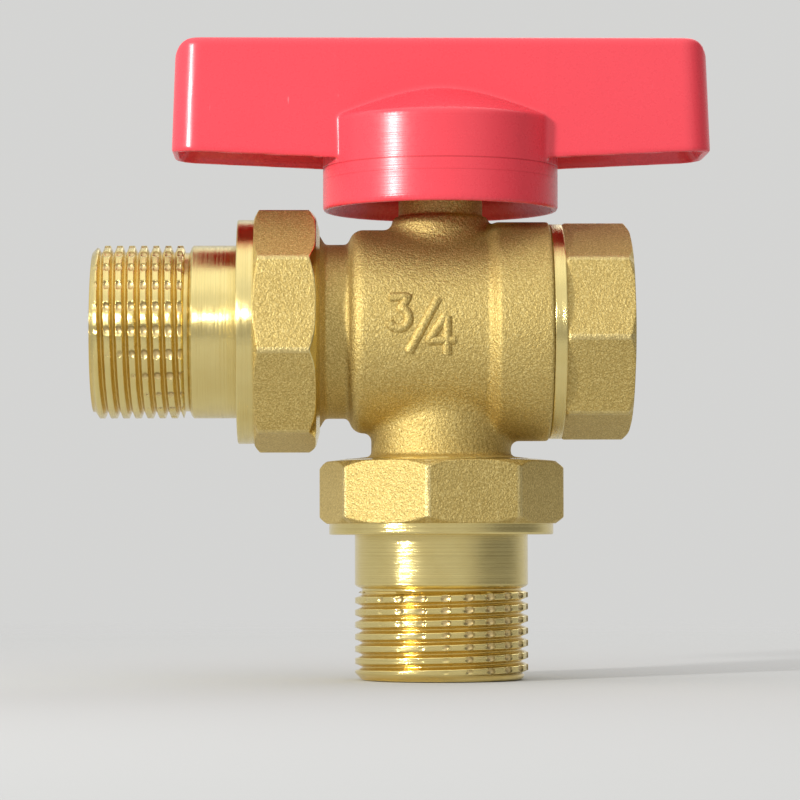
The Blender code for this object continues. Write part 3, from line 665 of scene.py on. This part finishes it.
def make_body(forged, machined):
    """Forging: barrel with collar, two necks and the stem boss, bored for the ball, ports and stem."""
    shape = Shape("Valve body", BODY)
    s = shape.size
    x, y, z = shape.position()
    flow = length(y, z)
    stem = length(x, y)
    collar = smooth_step(x, s["Collar ramp start"], s["Collar ramp end"]) * s["Collar step"]
    barrel = kept(flow - s["Barrel radius"] - collar, -s["Barrel left"] - x, s["Shoulder round"])
    barrel = kept(barrel, x - s["Body right"], s["Edge"])
    left_neck = most(flow - s["Neck radius"], -s["Spigot start"] - x, x)
    bottom_neck = most(stem - s["Bottom neck radius"], -s["Spigot start"] - z, z + s["Bottom neck inset"])
    foot_slope = (s["Boss ledge"] - z) * s["Boss foot slope"]
    foot = kept(stem - s["Boss foot"] - foot_slope, z - s["Boss ledge"], s["Edge"])
    foot = most(foot, s["Boss foot bottom"] - z)
    solid = joined(barrel, left_neck, s["Neck fillet"])
    solid = joined(solid, bottom_neck, s["Bottom neck fillet"])
    solid = joined(solid, foot, s["Boss fillet"])
    boss = rod(stem, z, s["Boss radius"], s["Boss bottom"], s["Boss top"], s["Edge"])
    stop = rod(stem, z, s["Stop radius"], s["Boss top"] - s["Stop thickness"], s["Boss top"], s["Edge"])
    solid = least(solid, boss, most(stop, s["Stop face"] - x))
    ports = (("Left", flow, -x, s["Neck radius"]), ("Bottom", stem, -z, s["Bottom neck radius"]))
    for side, radial, along, neck in ports:
        start, end = s[f"{side} flare start"], s[f"{side} flare end"]
        cone = start + (radial - neck) * ((end - start) / (s["Flare radius"] - neck)) - along
        flare = most(radial - s["Flare radius"], cone, along - end - OVERCUT / 2)
        core = rod(radial, along, s["Spigot core"], end, s["Spigot end"], s["Edge"])
        solid = least(joined(solid, flare, s[f"{side} flare fillet"]), core)
    bores = least(
        rod(flow, x, s["Cap bore radius"], s["Cap bore start"], s["Body right"] + OVERCUT),
        rod(flow, x, s["Chamber radius"], -s["Chamber end"], s["Cap bore start"] + OVERCUT),
        rod(flow, x, s["Seat pocket radius"], -s["Seat pocket end"], OVERCUT - s["Chamber end"]),
        rod(flow, x, s["Port radius"], -s["Spigot end"] - OVERCUT, OVERCUT - s["Seat pocket end"]),
        rod(stem, z, s["Port radius"], -s["Spigot end"] - OVERCUT, -s["Port radius"]),
        rod(stem, z, s["Stem bore radius"], s["Stem pocket top"] - OVERCUT, s["Boss top"] + OVERCUT),
        rod(stem, z, s["Stem pocket radius"], s["Stem pocket bottom"], s["Stem pocket top"]),
    )
    shape.grow(most(solid, -bores), *GRIDS["body"])
    shape.finish(forged)
    shape.finish(machined, bores.math("LESS_THAN", BORE_SKIN))
    return shape.piece("valve_body_forging", "valve", ["valve_body"], thinned=BODY_THINNED)


def make_handle(red):
    """Moulded T-handle: hollow arms and hub of one wall, with the stem's socket and ribs inside."""
    shape = Shape("Handle", HANDLE)
    s = shape.size
    x, y, z = shape.position()
    stem = length(x, y)
    drawn = (z - s["Arm bottom"]) * DRAFT
    end = abs(x) + drawn - s["Arm half length"]
    side = abs(y) + drawn - s["Arm half width"]
    top = z - s["Top"]
    arm = kept(kept(end, side, s["Arm corner"]), top, s["Top edge"])
    arm = most(arm, kept(end, top, s["End round"]))
    under = s["Arm bottom"] + abs(x) / s["Arm half length"] * s["Arm rise"] - z
    cone = (z - s["Hub top"]) * math.cos(HUB_CONE) + (stem - s["Hub radius"]) * math.sin(HUB_CONE)
    hub = kept(stem - s["Hub radius"], cone, s["Hub fillet"])
    rim = kept(hub, s["Hub bottom"] - z, s["Hub rim"])
    skin = joined(kept(arm, under, s["Hub fillet"]), rim, s["Hub fillet"])
    arm_thinner = smooth_step(-under, s["Rim height"], 0.0) * s["Rim taper"]
    arm_room = most(arm + s["Wall"] - arm_thinner, s["Arm bottom"] - OVERCUT - z, -hub)
    hub_thinner = smooth_step(z, s["Hub bottom"] + s["Rim height"], s["Hub bottom"]) * s["Rim taper"]
    room = least(arm_room, hub + s["Wall"] - hub_thinner)
    solid = most(skin, -room)
    post = rod(stem, z, s["Post radius"], s["Post bottom"], s["Top"])
    cross = least(*(abs(abs(x) - s["Hub radius"] - s["Rib pitch"] * step) for step in RIB_STEPS))
    last = abs(x) - s["Hub radius"] - s["Rib pitch"] * RIB_STEPS[-1]
    ribs = least(cross - s["Rib half"], most(abs(y) - s["Rib half"], last))
    ribs = most(ribs, s["Rib bottom"] - z)
    stop = most(abs(x) - s["Stop rib half"], s["Stop rib start"] - y)
    stop = most(stop, s["Stop rib bottom"] - z, z - s["Stop rib top"])
    solid = least(solid, most(least(post, ribs, stop), skin))
    recess = rod(stem, z, s["Recess radius"], s["Recess floor"], s["Top"] + OVERCUT, s["Recess edge"])
    hole = rod(stem, z, s["Screw hole"], s["Web bottom"] - OVERCUT, s["Top"])
    socket = rod(stem, z, s["Socket radius"], s["Post bottom"] - OVERCUT, s["Web bottom"])
    socket = most(socket, abs(y) - s["Socket flat"])
    solid = most(solid, -least(recess, hole, socket))
    shape.grow(solid, *GRIDS["handle"])
    shape.finish(red)
    return shape.piece("handle_moulding", "handle", ["handle"], thinned=HANDLE_THINNED)


def make_ball(chrome):
    """Ball with an L-shaped passage from its left side to its bottom, and the stem's slot across its top."""
    shape = Shape("Ball", BALL)
    s = shape.size
    x, y, z = shape.position()
    flow = length(y, z)
    sphere = length(flow, x) - s["Radius"]
    side = least(most(flow - s["Port radius"], x), length(flow, x) - s["Port radius"])
    bottom = most(length(x, y) - s["Bottom port radius"], z)
    slot = most(abs(x) - s["Slot half"], s["Slot floor"] - z)
    solid = kept(kept(sphere, -least(side, bottom), s["Port edge"]), -slot, s["Port edge"])
    shape.grow(solid, *GRIDS["ball"])
    shape.finish(chrome)
    return shape.piece("ball_chromed", "handle", ["ball"])


def make_screw(steel):
    """Pan head screw with a cross recess."""
    shape = Shape("Handle screw", SCREW)
    s = shape.size
    x, y, z = shape.position()
    radial = length(x, y)
    head_top = s["Seat"] + s["Head height"]
    head = kept(radial - s["Head radius"], z - head_top, s["Head round"])
    head = most(head, s["Seat"] - z)
    shank = rod(radial, z, s["Shank radius"], s["Tip"], s["Seat"] + s["Head round"], s["Tip round"])
    narrow = (head_top - z) * s["Cross taper"]
    across = least(abs(x), abs(y)) + narrow - s["Cross half width"]
    cross = most(across, radial + narrow - s["Cross reach"], head_top - s["Cross depth"] - z)
    shape.grow(most(least(head, shank), -cross), *GRIDS["screw"])
    shape.finish(steel)
    return shape.piece("handle_screw_pan_head", "handle", ["handle_screw"])


def lofted(name, columns):
    """Mesh round Z through closed outlines, given as an angle and its (radius, height) rows."""
    count = len(columns[0][1])
    points = [(r * math.cos(turn), r * math.sin(turn), h) for turn, rows in columns for r, h in rows]
    faces = []
    for first in range(0, len(points), count):
        after = (first + count) % len(points)
        for row in range(count):
            above = (row + 1) % count
            faces.append((first + row, after + row, after + above, first + above))
    mesh = bpy.data.meshes.new(name)
    mesh.from_pydata(points, [], faces)
    shape = bmesh.new()
    shape.from_mesh(mesh)
    bmesh.ops.recalc_face_normals(shape, faces=shape.faces)
    shape.to_mesh(mesh)
    shape.free()
    mesh.shade_smooth()
    return mesh


def revolved(name, rows, steps):
    return lofted(name, [(2 * math.pi * step / steps, rows) for step in range(steps)])


def eased(rows):
    """Closed outline. A row with a third value is a corner of that rounding: it becomes a small arc, with a
    row on either side that keeps the sides straight."""
    corners = [Vector(row[:2]) for row in rows]
    soft = []
    for i, row in enumerate(rows):
        if len(row) == 2:
            soft.append(corners[i])
            continue
        ways = [corners[i - 1] - corners[i], corners[(i + 1) % len(rows)] - corners[i]]
        back, ahead = [way.normalized() * min(row[2], way.length * ARC_ROOM) for way in ways]
        soft.append(corners[i] + back * ARC_SUPPORT)
        soft += [corners[i] + back * (1 - t) ** 2 + ahead * t ** 2 for t in ARC_STEPS]
        soft.append(corners[i] + ahead * ARC_SUPPORT)
    return soft


def placed(name, mesh, body, nodes, port=UP):
    return settled(in_scene(name, mesh), body, nodes, port)


def store(mesh, name, values):
    mesh.attributes.new(name, "FLOAT", "POINT").data.foreach_set("value", values)


def flat_columns(radius, turn):
    """Angles round the eight wrench flats, each with its radius and 1 where it is at an edge."""
    half = math.pi / FLATS
    bevel = FORGED_EDGE / radius
    middle = half - 3 * bevel
    offs = [(middle * (2 * step / FLAT_STEPS - 1), 0.0) for step in range(FLAT_STEPS + 1)]
    near = [half - 2 * bevel, half - bevel]
    offs = [(-off, 1.0) for off in reversed(near)] + offs + [(off, 1.0) for off in near]
    return [
        (turn + (2 * side + 1) * half + off, radius / math.cos(off), edge)
        for side in range(FLATS)
        for off, edge in offs
    ]


def chamfered(reach, flat_radius, chamfer):
    """Where a cone that cuts the corners of flats meets the end face, and how far down a side it cuts."""
    land, slope = chamfer
    past = reach - flat_radius - land
    cut = (math.hypot(past, land) + past) / 2
    return reach - cut - land / 2, cut * slope


def wrench_mesh(name, columns, edges, corners, forged, turned):
    """Loft that is forged between two corners of its outline, with its edges marked, and else turned."""
    mesh = lofted(name, columns)
    count = len(columns[0][1])
    start, end = [CORNER_ROWS * corner + CORNER_ROWS // 2 for corner in corners]
    mesh.materials.append(turned)
    mesh.materials.append(forged)
    mesh.polygons.foreach_set("material_index", [
        int(start <= index % count < end - 1) for index in range(len(mesh.polygons))
    ])
    store(mesh, "edge", [
        edge if start <= row < end else 0.0 for edge in edges for row in range(count)
    ])
    return mesh


def make_nut(side, union, port, forged, turned):
    """Union nut: forged flats, with its collar, chamfers and bore turned."""
    s = NUT
    columns = []
    edges = []
    for turn, reach, edge in flat_columns(s["flat radius"], union["nut turn"]):
        rear, rear_cut = chamfered(reach, s["flat radius"], union["nut rear chamfer"])
        front, front_cut = chamfered(reach, s["flat radius"], union["nut front chamfer"])
        rows = [
            (s["bore radius"], union["nut opening"], s["collar edge"]),
            (rear, union["nut rear"], TURNED_EDGE),
            (reach, union["nut rear"] + rear_cut, FORGED_EDGE),
            (reach, union["nut shoulder"] - front_cut, FORGED_EDGE),
            (front, union["nut shoulder"], TURNED_EDGE),
            (s["collar radius"], union["nut shoulder"], TURNED_EDGE),
            (s["collar radius"], s["face"], s["collar edge"]),
            (s["lip radius"], s["face"], s["collar edge"]),
            (s["lip radius"], s["lip start"], TURNED_EDGE),
            (s["bore radius"], s["lip start"], TURNED_EDGE),
        ]
        columns.append((turn, eased(rows)))
        edges.append(edge)
    corners = NUT_FORGED[union["nut rear finish"]]
    mesh = wrench_mesh(f"{side}_union_nut_flats", columns, edges, corners, forged, turned)
    placed(mesh.name, mesh, f"{side}_nut", [f"{side}_union_nut"], port)


def make_cap(forged, turned):
    """End cap: turned ring, wrench end and the threaded pipe socket."""
    s = CAP
    step = s["thread pitch"] / SOCKET_ROWS
    low = s["socket bottom"] + step
    count = int((s["end"] - s["socket chamfer"] - 2 * step - low) / step)
    columns = []
    edges = []
    grooves = []
    for turn, reach, edge in flat_columns(s["flat radius"], CAP_TURN):
        front, front_cut = chamfered(reach, s["flat radius"], CAP_CHAMFER)
        lead = turn / (2 * math.pi)
        shift = (lead * SOCKET_ROWS - low / step) % 1
        heights = [low + (row + shift) * step for row in range(count)]
        deep = [socket_cut((height / s["thread pitch"] - lead) % 1) for height in heights]
        outside = [
            (s["seat pocket radius"], s["spigot start"], TURNED_EDGE),
            (s["spigot radius"], s["spigot start"], s["ring edge"]),
            (s["spigot radius"], s["seal groove start"], TURNED_EDGE),
            (s["seal groove radius"], s["seal groove start"], TURNED_EDGE),
            (s["seal groove radius"], s["ring start"], TURNED_EDGE),
            (s["ring radius"], s["ring start"], s["ring edge"]),
            (s["ring radius"], s["ring end"], s["ring edge"]),
            (min(reach, s["ring radius"] - s["ring edge"]), s["ring end"], TURNED_EDGE),
            (reach, s["flat start"], FORGED_EDGE),
            (reach, s["end"] - front_cut, FORGED_EDGE),
            (front, s["end"], TURNED_EDGE),
            (s["socket radius"] + s["socket chamfer"], s["end"], TURNED_EDGE),
            (s["socket radius"], s["end"] - s["socket chamfer"], TURNED_EDGE),
        ]
        thread = [(s["socket radius"] + s["thread depth"] * d, h) for d, h in zip(deep, heights)][::-1]
        inside = [
            (s["socket radius"], s["socket bottom"], TURNED_EDGE),
            (s["port radius"], s["socket bottom"], TURNED_EDGE),
            (s["port radius"], s["seat pocket end"], TURNED_EDGE),
            (s["seat pocket radius"], s["seat pocket end"], TURNED_EDGE),
        ]
        columns.append((turn, eased(outside + thread + inside)))
        edges.append(edge)
        grooves += [0.0] * CORNER_ROWS * len(outside) + deep[::-1] + [0.0] * CORNER_ROWS * len(inside)
    mesh = wrench_mesh("end_cap_wrench_end", columns, edges, CAP_FORGED, forged, turned)
    # Depth of the socket thread's cut, from which the finish paints shade in its grooves
    store(mesh, "groove", grooves)
    placed(mesh.name, mesh, "valve", ["end_cap"], RIGHT)


def socket_cut(phase):
    """How deep the socket's thread is cut, from 0 on a crest to 1 at the root."""
    off_root = abs(phase * 2 - 1)
    crest, root = 1 - CAP["thread crest share"], CAP["thread root share"]
    return min(max((crest - off_root) / (crest - root), 0.0), 1.0)


def thread_rows(radius, first, last, pitch):
    step = pitch / THREAD_ROWS
    return [(radius, first + step * row) for row in range(int((last - first) / step) + 1)]


def threaded(name, sizes, rows, material, body, nodes, port):
    """Turned ring whose outside is cut with a right-hand thread, its crests notched across on one side. Its
    rows are first moved on to the thread's own lines."""
    shape = Shape(name, sizes, revolved(name, eased(rows), THREAD_STEPS))
    s = shape.size
    x, y, z = shape.position()
    radial = length(x, y)
    turn = y.math("ARCTAN2", x)
    outer = radial.math("GREATER_THAN", s["Crest radius"] - s["Depth"] - SKIN_UNDER_ROOT)
    step = s["Pitch"] / THREAD_ROWS
    lines = (turn / (2 * math.pi) + s["Phase"]) * THREAD_ROWS - s["First row"] / step
    begun = z.math("GREATER_THAN", s["First row"] - ROW_MARGIN)
    among = begun * smooth_step(z, s["Last row"], s["Last row"] - ROW_FADE)
    shift = lines.math("FRACT") * step * among * outer
    height = z + shift
    phase = helix_phase(x, y, height, s["Pitch"], s["Phase"])
    cut = groove_depth(phase, s["Crest share"], s["Root share"])
    off_crest = (1.0 - abs(phase * 2.0 - 1.0)) / s["Crest share"]
    way = (height - s["Start"]) / s["Length"]
    side = (turn - s["Notch side"]).math("COSINE")
    worn = smooth_step(side * NOTCH_ROUND + s["Notch reach"] - way * NOTCH_FADE, 0.0, 1.0)
    row = (turn / (2 * math.pi) * s["Notches"] + s["Notch phase"]).math("FRACT")
    off_notch = (1.0 - abs(row * 2.0 - 1.0)) / NOTCH_WIDTH
    bowl = worn - off_notch * off_notch - off_crest * off_crest * NOTCH_SIDE_ROUND
    notch = most(bowl, 0.0) * s["Notch depth"]
    deep = most(cut * s["Depth"], notch)
    inside = smooth_step(way, *CUT_FADE)
    wanted = least(radial, s["Crest radius"] - deep)
    grow = (wanted / radial - 1.0) * outer * inside
    move = shape.add("ShaderNodeCombineXYZ", {}, [x * grow, y * grow, shift])
    # Depth of the cut, kept for the finish to paint shade in the grooves
    shape.keep("groove", cut * inside * outer)
    full = radial.math("GREATER_THAN", s["Crest radius"] - CREST_SKIN)
    crest = smooth_step(cut, *CREST_CUT) * inside * full
    shape.keep("dent", smooth_step(bowl, *DENT_FLOOR) * crest)
    # Painted shade: a dark line round each worn dent, on the wall that Notch shade picks
    wall = smooth_step((row * 2.0 - 1.0) * s["Notch shade"], *DENT_SHADED_SIDE)
    edge = smooth_step(abs(bowl - DENT_EDGE), *DENT_EDGE_FADE) * smooth_step(worn, *DENT_WORN)
    shape.keep("dent painted shade", edge * wall * crest)
    shape.geometry = shape.add("GeometryNodeSetPosition", {}, {"Geometry": shape.geometry, "Offset": move})
    shape.geometry = shape.add("GeometryNodeSetShadeSmooth", {}, {"Geometry": shape.geometry})
    shape.finish(material)
    return shape.piece(name, body, nodes, port)


def make_union(side, port, union, finishes):
    """Nut, tailpiece, gasket and the body's union thread of one port."""
    axis = "x" if port == LEFT else "z"
    turned = finishes[f"turned_brass_{axis}"]
    make_nut(side, union, port, finishes["forged_brass"], turned)
    smooth_end = union["smooth end"]
    relief_end = union["relief end"]
    sizes = {**PIPE_THREAD, **union["thread"], "First row": relief_end}
    rows = [
        (TAIL_BORE, FLANGE_START, TURNED_EDGE),
        (FLANGE_RADIUS, FLANGE_START, TURNED_EDGE),
        (FLANGE_RADIUS, FLANGE_END, TURNED_EDGE),
        (TAIL_RADIUS, FLANGE_END, TURNED_EDGE),
        (TAIL_RADIUS, smooth_end - SMOOTH_CHAMFER, TURNED_EDGE),
        (TAIL_RADIUS - SMOOTH_CHAMFER, smooth_end, TURNED_EDGE),
        (RELIEF_RADIUS, smooth_end + SMOOTH_CHAMFER, TURNED_EDGE),
        (RELIEF_RADIUS, relief_end - SMOOTH_CHAMFER, TURNED_EDGE),
        *thread_rows(TAIL_RADIUS, relief_end, TAIL_END - TAIL_CHAMFER, sizes["Pitch"]),
        (TAIL_RADIUS - TAIL_CHAMFER / 3, TAIL_END - TAIL_CHAMFER * 2 / 3),
        (TAIL_RADIUS - TAIL_CHAMFER * 2 / 3, TAIL_END - TAIL_CHAMFER / 3),
        (TAIL_RADIUS - TAIL_CHAMFER, TAIL_END, TURNED_EDGE),
        (TAIL_BORE, TAIL_END, TURNED_EDGE),
    ]
    threaded(f"{side}_tailpiece_thread", sizes, rows, turned, f"{side}_tail", [f"{side}_tailpiece"], port)
    s = UNION_THREAD
    rows = [
        (RING_BORE, RING_BORE_START, TURNED_EDGE),
        (RING_FOOT, RING_FOOT_START, TURNED_EDGE),
        *thread_rows(s["Crest radius"], s["First row"], s["Last row"], s["Pitch"]),
        (RING_RIM, BODY["Spigot end"], TURNED_EDGE),
        (RING_BORE, RING_BORE_END, TURNED_EDGE),
    ]
    thread = threaded(f"{side}_spigot_thread", s, rows, turned, "valve", [], port)
    gasket = [
        (TAIL_BORE, GASKET_START, TURNED_EDGE),
        (FLANGE_RADIUS, GASKET_START, TURNED_EDGE),
        (FLANGE_RADIUS, GASKET_END, TURNED_EDGE),
        (TAIL_BORE, GASKET_END, TURNED_EDGE),
    ]
    mesh = revolved(f"{side}_gasket_ring", eased(gasket), GASKET_STEPS)
    mesh.materials.append(finishes["rubber"])
    placed(mesh.name, mesh, f"{side}_tail", [f"{side}_gasket"], port)


def make_size_mark(forged):
    """Raised size figures on the front of the barrel: rounded strokes that follow its round side."""
    paths = [list(stroke) for stroke in MARK_STROKES]
    count = round(MARK_ARC_RADIUS * (MARK_ARC_FROM - MARK_ARC_TO) / MARK_STEP)
    for step in range(1, count + 1):
        turn = MARK_ARC_FROM + (MARK_ARC_TO - MARK_ARC_FROM) * step / count
        paths[0].append((
            MARK_ARC_CENTRE[0] + MARK_ARC_RADIUS * math.cos(turn),
            MARK_ARC_CENTRE[1] + MARK_ARC_RADIUS * math.sin(turn),
        ))
    curve = bpy.data.curves.new("size_mark", "CURVE")
    curve.dimensions = "3D"
    curve.bevel_depth = MARK_WIDTH / 2
    curve.bevel_resolution = MARK_ROUNDNESS
    curve.use_fill_caps = True
    middle = BODY["Barrel radius"] - MARK_SUNK
    for path in paths:
        points = [Vector(path[0])]
        for goal in path[1:]:
            start = points[-1].copy()
            steps = max(1, round((Vector(goal) - start).length / MARK_STEP))
            points += [start.lerp(Vector(goal), step / steps) for step in range(1, steps + 1)]
        spline = curve.splines.new("POLY")
        spline.points.add(len(points) - 1)
        for point, (along, up) in zip(spline.points, points):
            turn = up / BODY["Barrel radius"]
            point.co = (along, -middle * math.cos(turn), middle * math.sin(turn), 1.0)
    maker = in_scene("size_mark", curve)
    graph = bpy.context.evaluated_depsgraph_get()
    mesh = bpy.data.meshes.new_from_object(maker.evaluated_get(graph))
    bpy.data.objects.remove(maker)
    mesh.materials.clear()
    mesh.materials.append(forged)
    mesh.shade_smooth()
    obj = in_scene("size_mark", mesh)
    settled(obj, "valve", [])


def shader_tree(name):
    material = bpy.data.materials.new(name)
    material.use_nodes = True
    tree = material.node_tree
    tree.nodes.remove(tree.nodes["Principled BSDF"])
    return material, tree


def finish_tree(tree, surface):
    tree.links.new(surface.socket, tree.nodes["Material Output"].inputs["Surface"])


def finished(material, looks):
    tree = material.node_tree
    finish_tree(tree, add(tree, "ShaderNodeBsdfPrincipled", {}, looks))
    return material


def place_of(tree):
    return add(tree, "ShaderNodeTexCoord").out("Object")


def noise(tree, place, scale, detail=2.0, roughness=0.5):
    return add(
        tree, "ShaderNodeTexNoise", {},
        {"Vector": place, "Scale": scale, "Detail": detail, "Roughness": roughness},
    )


def stripes(tree, along, scale):
    """Fine uneven lines across one direction."""
    return add(
        tree, "ShaderNodeTexNoise", {"noise_dimensions": "1D"},
        {"W": along, "Scale": scale, "Detail": 2.0},
    )


def stored(tree, name):
    """Value kept on the points of a piece."""
    return add(tree, "ShaderNodeAttribute", {"attribute_name": name}).out("Fac")


def mix_colours(tree, share, first, second):
    return add(tree, "ShaderNodeMix", {"data_type": "RGBA"}, {0: share, 6: first, 7: second}, output=2)


def bump(tree, height, depth, strength=1.0):
    return add(tree, "ShaderNodeBump", {}, {"Height": height, "Distance": depth, "Strength": strength})


def forged_brass():
    """Blasted forging: fine grain whose tone is partly painted, with shade in its hollows and sparkle on its
    peaks, slow colour drift and edges rubbed a little brighter.
    """
    s = FORGED
    material, tree = shader_tree("forged_brass")
    place = place_of(tree)
    grain, pits, drift = [noise(tree, place, *s[name]) for name in ("grain", "pits", "drift")]
    rubbed = smooth_step(stored(tree, "edge"), *s["rubbed range"])
    tone = mix_colours(tree, drift, s["dark"], s["light"])
    # Painted shade in the bumped grain's hollows and painted sparkle on its peaks
    for name in ("hollow", "spark"):
        tone = mix_colours(tree, smooth_step(grain, *s[f"{name} range"]) * s["grain share"], tone, s[name])
    tone = mix_colours(tree, rubbed * s["rubbed share"], tone, s["rubbed"])
    return finished(material, {
        "Base Color": tone,
        "Roughness": s["roughness"] + grain * s["grain roughness"] - rubbed * s["rubbed polish"],
        "Metallic": 1.0,
        "Normal": bump(tree, grain + pits, s["depth"]),
    })


def turned_brass(axis):
    """Bright turned brass with fine tool lines round the axis, with painted shade in thread grooves and along
    one wall of each dent, and darker dent floors.
    """
    s = TURNED
    material, tree = shader_tree(f"turned_brass_{axis}")
    place = place_of(tree)
    x, y, z = axes_of(place)
    along, radial = (x, length(y, z)) if axis == "x" else (z, length(x, y))
    slanted = along + radial * s["slant"]
    lines, fine = [stripes(tree, slanted, s[name]) for name in ("lines", "fine lines")]
    smears = noise(tree, place, *s["smears"])
    tone = mix_colours(tree, smears, s["dark"], s["light"])
    tone = mix_colours(tree, smooth_step(lines, *s["line range"]) * s["line share"], tone, s["line"])
    marks = {name: stored(tree, name) for name in ("groove", "dent", "dent painted shade")}
    # Grooves and one wall of each dent get painted shade
    for name, mark in marks.items():
        tone = mix_colours(tree, mark * s[f"{name} share"], tone, s[name])
    rough = s["roughness"] + smears * s["smear roughness"] + lines * s["line roughness"]
    return finished(material, {
        "Base Color": tone,
        "Roughness": rough + marks["dent"] * s["dent roughness"],
        "Metallic": 1.0,
        "Normal": bump(tree, fine + lines * s["line height"], s["depth"][axis]),
    })


def red_plastic():
    """Glossy moulded plastic: mould lines and fine tool lines round the hub, rubbing and a few scratches."""
    s = RED
    material, tree = shader_tree("red_plastic")
    place = place_of(tree)
    x, y, z = axes_of(place)
    on_hub = smooth_step(abs(length(x, y) - HANDLE["Hub radius"]), *s["hub range"])
    marks = [smooth_step(abs(z - height), width, 0.0) for height, width in MOULD_LINES]
    mould = most(marks[0], marks[1] * s["second mould"]) * on_hub
    ripple = noise(tree, place, *s["ripple"])
    rub = noise(tree, place, *s["rub"])
    drawn = add(tree, "ShaderNodeVectorMath", {"operation": "MULTIPLY"}, [place, s["scratch stretch"]])
    scratch = smooth_step(noise(tree, drawn, *s["scratches"]), *s["scratch range"])
    scratch = scratch * smooth_step(ripple, *s["scratched range"])
    lines = stripes(tree, z, s["hub lines"]) * on_hub
    tone = mix_colours(tree, ripple, s["dark"], s["light"])
    tone = mix_colours(tree, mould * s["mould share"], tone, s["mould"])
    tone = mix_colours(tree, scratch * s["scratch share"], tone, s["scratch"])
    height = lines * s["line height"] + rub - mould * s["mould depth"]
    return finished(material, {
        "Base Color": tone,
        "Roughness": s["roughness"] + rub * s["rub roughness"] + scratch * s["scratch roughness"],
        "Normal": bump(tree, height, s["depth"], s["strength"]),
    })


def plain_finish(name, dark, light, roughness, metallic, scale):
    """Small pieces: an even finish with a fine mottle of two tones."""
    material, tree = shader_tree(name)
    mottle = noise(tree, place_of(tree), scale, PLAIN["detail"])
    return finished(material, {
        "Base Color": mix_colours(tree, mottle, dark, light),
        "Roughness": roughness + mottle * PLAIN["roughness"],
        "Metallic": metallic,
        "Normal": bump(tree, mottle, PLAIN["depth"], PLAIN["strength"]),
    })


def make_finishes():
    return {
        "forged_brass": forged_brass(),
        "turned_brass_x": turned_brass("x"),
        "turned_brass_z": turned_brass("z"),
        "red_plastic": red_plastic(),
        **{name: plain_finish(name, *look) for name, look in PLAIN_FINISHES.items()},
    }


def dress_solids(finishes):
    """Finishes of the solids that show as they are."""
    wanted = {
        "stem": "turned_brass_z",
        "stem_thrust_washer": "seat_plastic",
        "left_seat": "seat_plastic",
        "right_seat": "seat_plastic",
        "handle_washer": "steel",
    }
    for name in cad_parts:
        finish = wanted.get(name, "rubber" if name.endswith("o_ring") else None)
        if finish:
            for slot in bpy.data.objects[name].material_slots:
                slot.material = finishes[finish]


def camera_basis():
    """Right, up and forward of the camera: yaw to the right, then pitch up, then roll."""
    forward = Vector((
        math.sin(CAMERA_YAW) * math.cos(CAMERA_PITCH),
        math.cos(CAMERA_YAW) * math.cos(CAMERA_PITCH),
        math.sin(CAMERA_PITCH),
    ))
    right = Vector((math.cos(CAMERA_YAW), -math.sin(CAMERA_YAW), 0))
    up = right.cross(forward)
    turn = Matrix.Rotation(CAMERA_ROLL, 3, -forward)
    return turn @ right, turn @ up, forward


def add_camera():
    data = bpy.data.cameras.new("Camera")
    data.sensor_width = SENSOR_WIDTH
    data.lens = FOCAL_PIXELS * SENSOR_WIDTH / PHOTO_PIXELS
    data.clip_start, data.clip_end = CAMERA_CLIP
    camera = in_scene("Camera", data)
    right, up, forward = camera_basis()
    turn = Matrix((right, up, -forward)).transposed()
    camera.matrix_world = Matrix.Translation(CAMERA_PLACE) @ turn.to_4x4()
    bpy.context.scene.camera = camera


def add_lamp(name, place, size, power):
    data = bpy.data.lights.new(name, "AREA")
    data.shape = "DISK"
    data.size = size
    data.energy = power
    lamp = in_scene(name, data)
    lamp.location = place
    lamp.rotation_euler = (-Vector(place)).to_track_quat("-Z", "Y").to_euler()


def add_floor():
    """Pale floor that fades into the backdrop with distance."""
    mesh = bpy.data.meshes.new("floor")
    corners = [(-1, -1), (1, -1), (1, 1), (-1, 1)]
    points = [(x * FLOOR_HALF, y * FLOOR_HALF, FLOOR_HEIGHT) for x, y in corners]
    mesh.from_pydata(points, [], [(0, 1, 2, 3)])
    material, tree = shader_tree("floor")
    x, y, _ = axes_of(place_of(tree))
    away = smooth_step(length(x, y), *FLOOR_FADE)
    paint = add(tree, "ShaderNodeBsdfDiffuse", {}, {"Color": FLOOR_COLOUR})
    clear = add(tree, "ShaderNodeBsdfTransparent")
    finish_tree(tree, add(tree, "ShaderNodeMixShader", {}, [away, paint, clear]))
    mesh.materials.append(material)
    floor = in_scene("floor", mesh)


def add_world():
    """Pale backdrop behind the valve, and the room that it faces, bright above and dim on the right."""
    world = bpy.data.worlds.new("World")
    bpy.context.scene.world = world
    world.use_nodes = True
    tree = world.node_tree
    x, y, z = axes_of(add(tree, "ShaderNodeTexCoord"))
    tone = mix_colours(tree, smooth_step(z, *ROOM_RANGE), ROOM_LOW, ROOM_HIGH)
    tone = mix_colours(tree, smooth_step(x, *SHADE_RANGE), tone, SHADE)
    tone = mix_colours(tree, smooth_step(y, *BACKDROP_RANGE), tone, BACKDROP)
    tree.links.new(tone.socket, tree.nodes["Background"].inputs["Color"])


def main():
    bpy.context.scene.view_settings.view_transform = "Standard"
    add_camera()
    finishes = make_finishes()
    forged = finishes["forged_brass"]
    make_body(forged, finishes["turned_brass_x"])
    make_size_mark(forged)
    make_cap(forged, finishes["turned_brass_x"])
    make_handle(finishes["red_plastic"])
    make_ball(finishes["chrome"])
    make_screw(finishes["steel"])
    make_union("left", LEFT, LEFT_UNION, finishes)
    make_union("bottom", DOWN, BOTTOM_UNION, finishes)
    dress_solids(finishes)
    add_floor()
    add_world()
    for name, lamp in LAMPS.items():
        add_lamp(name, *lamp)


main()
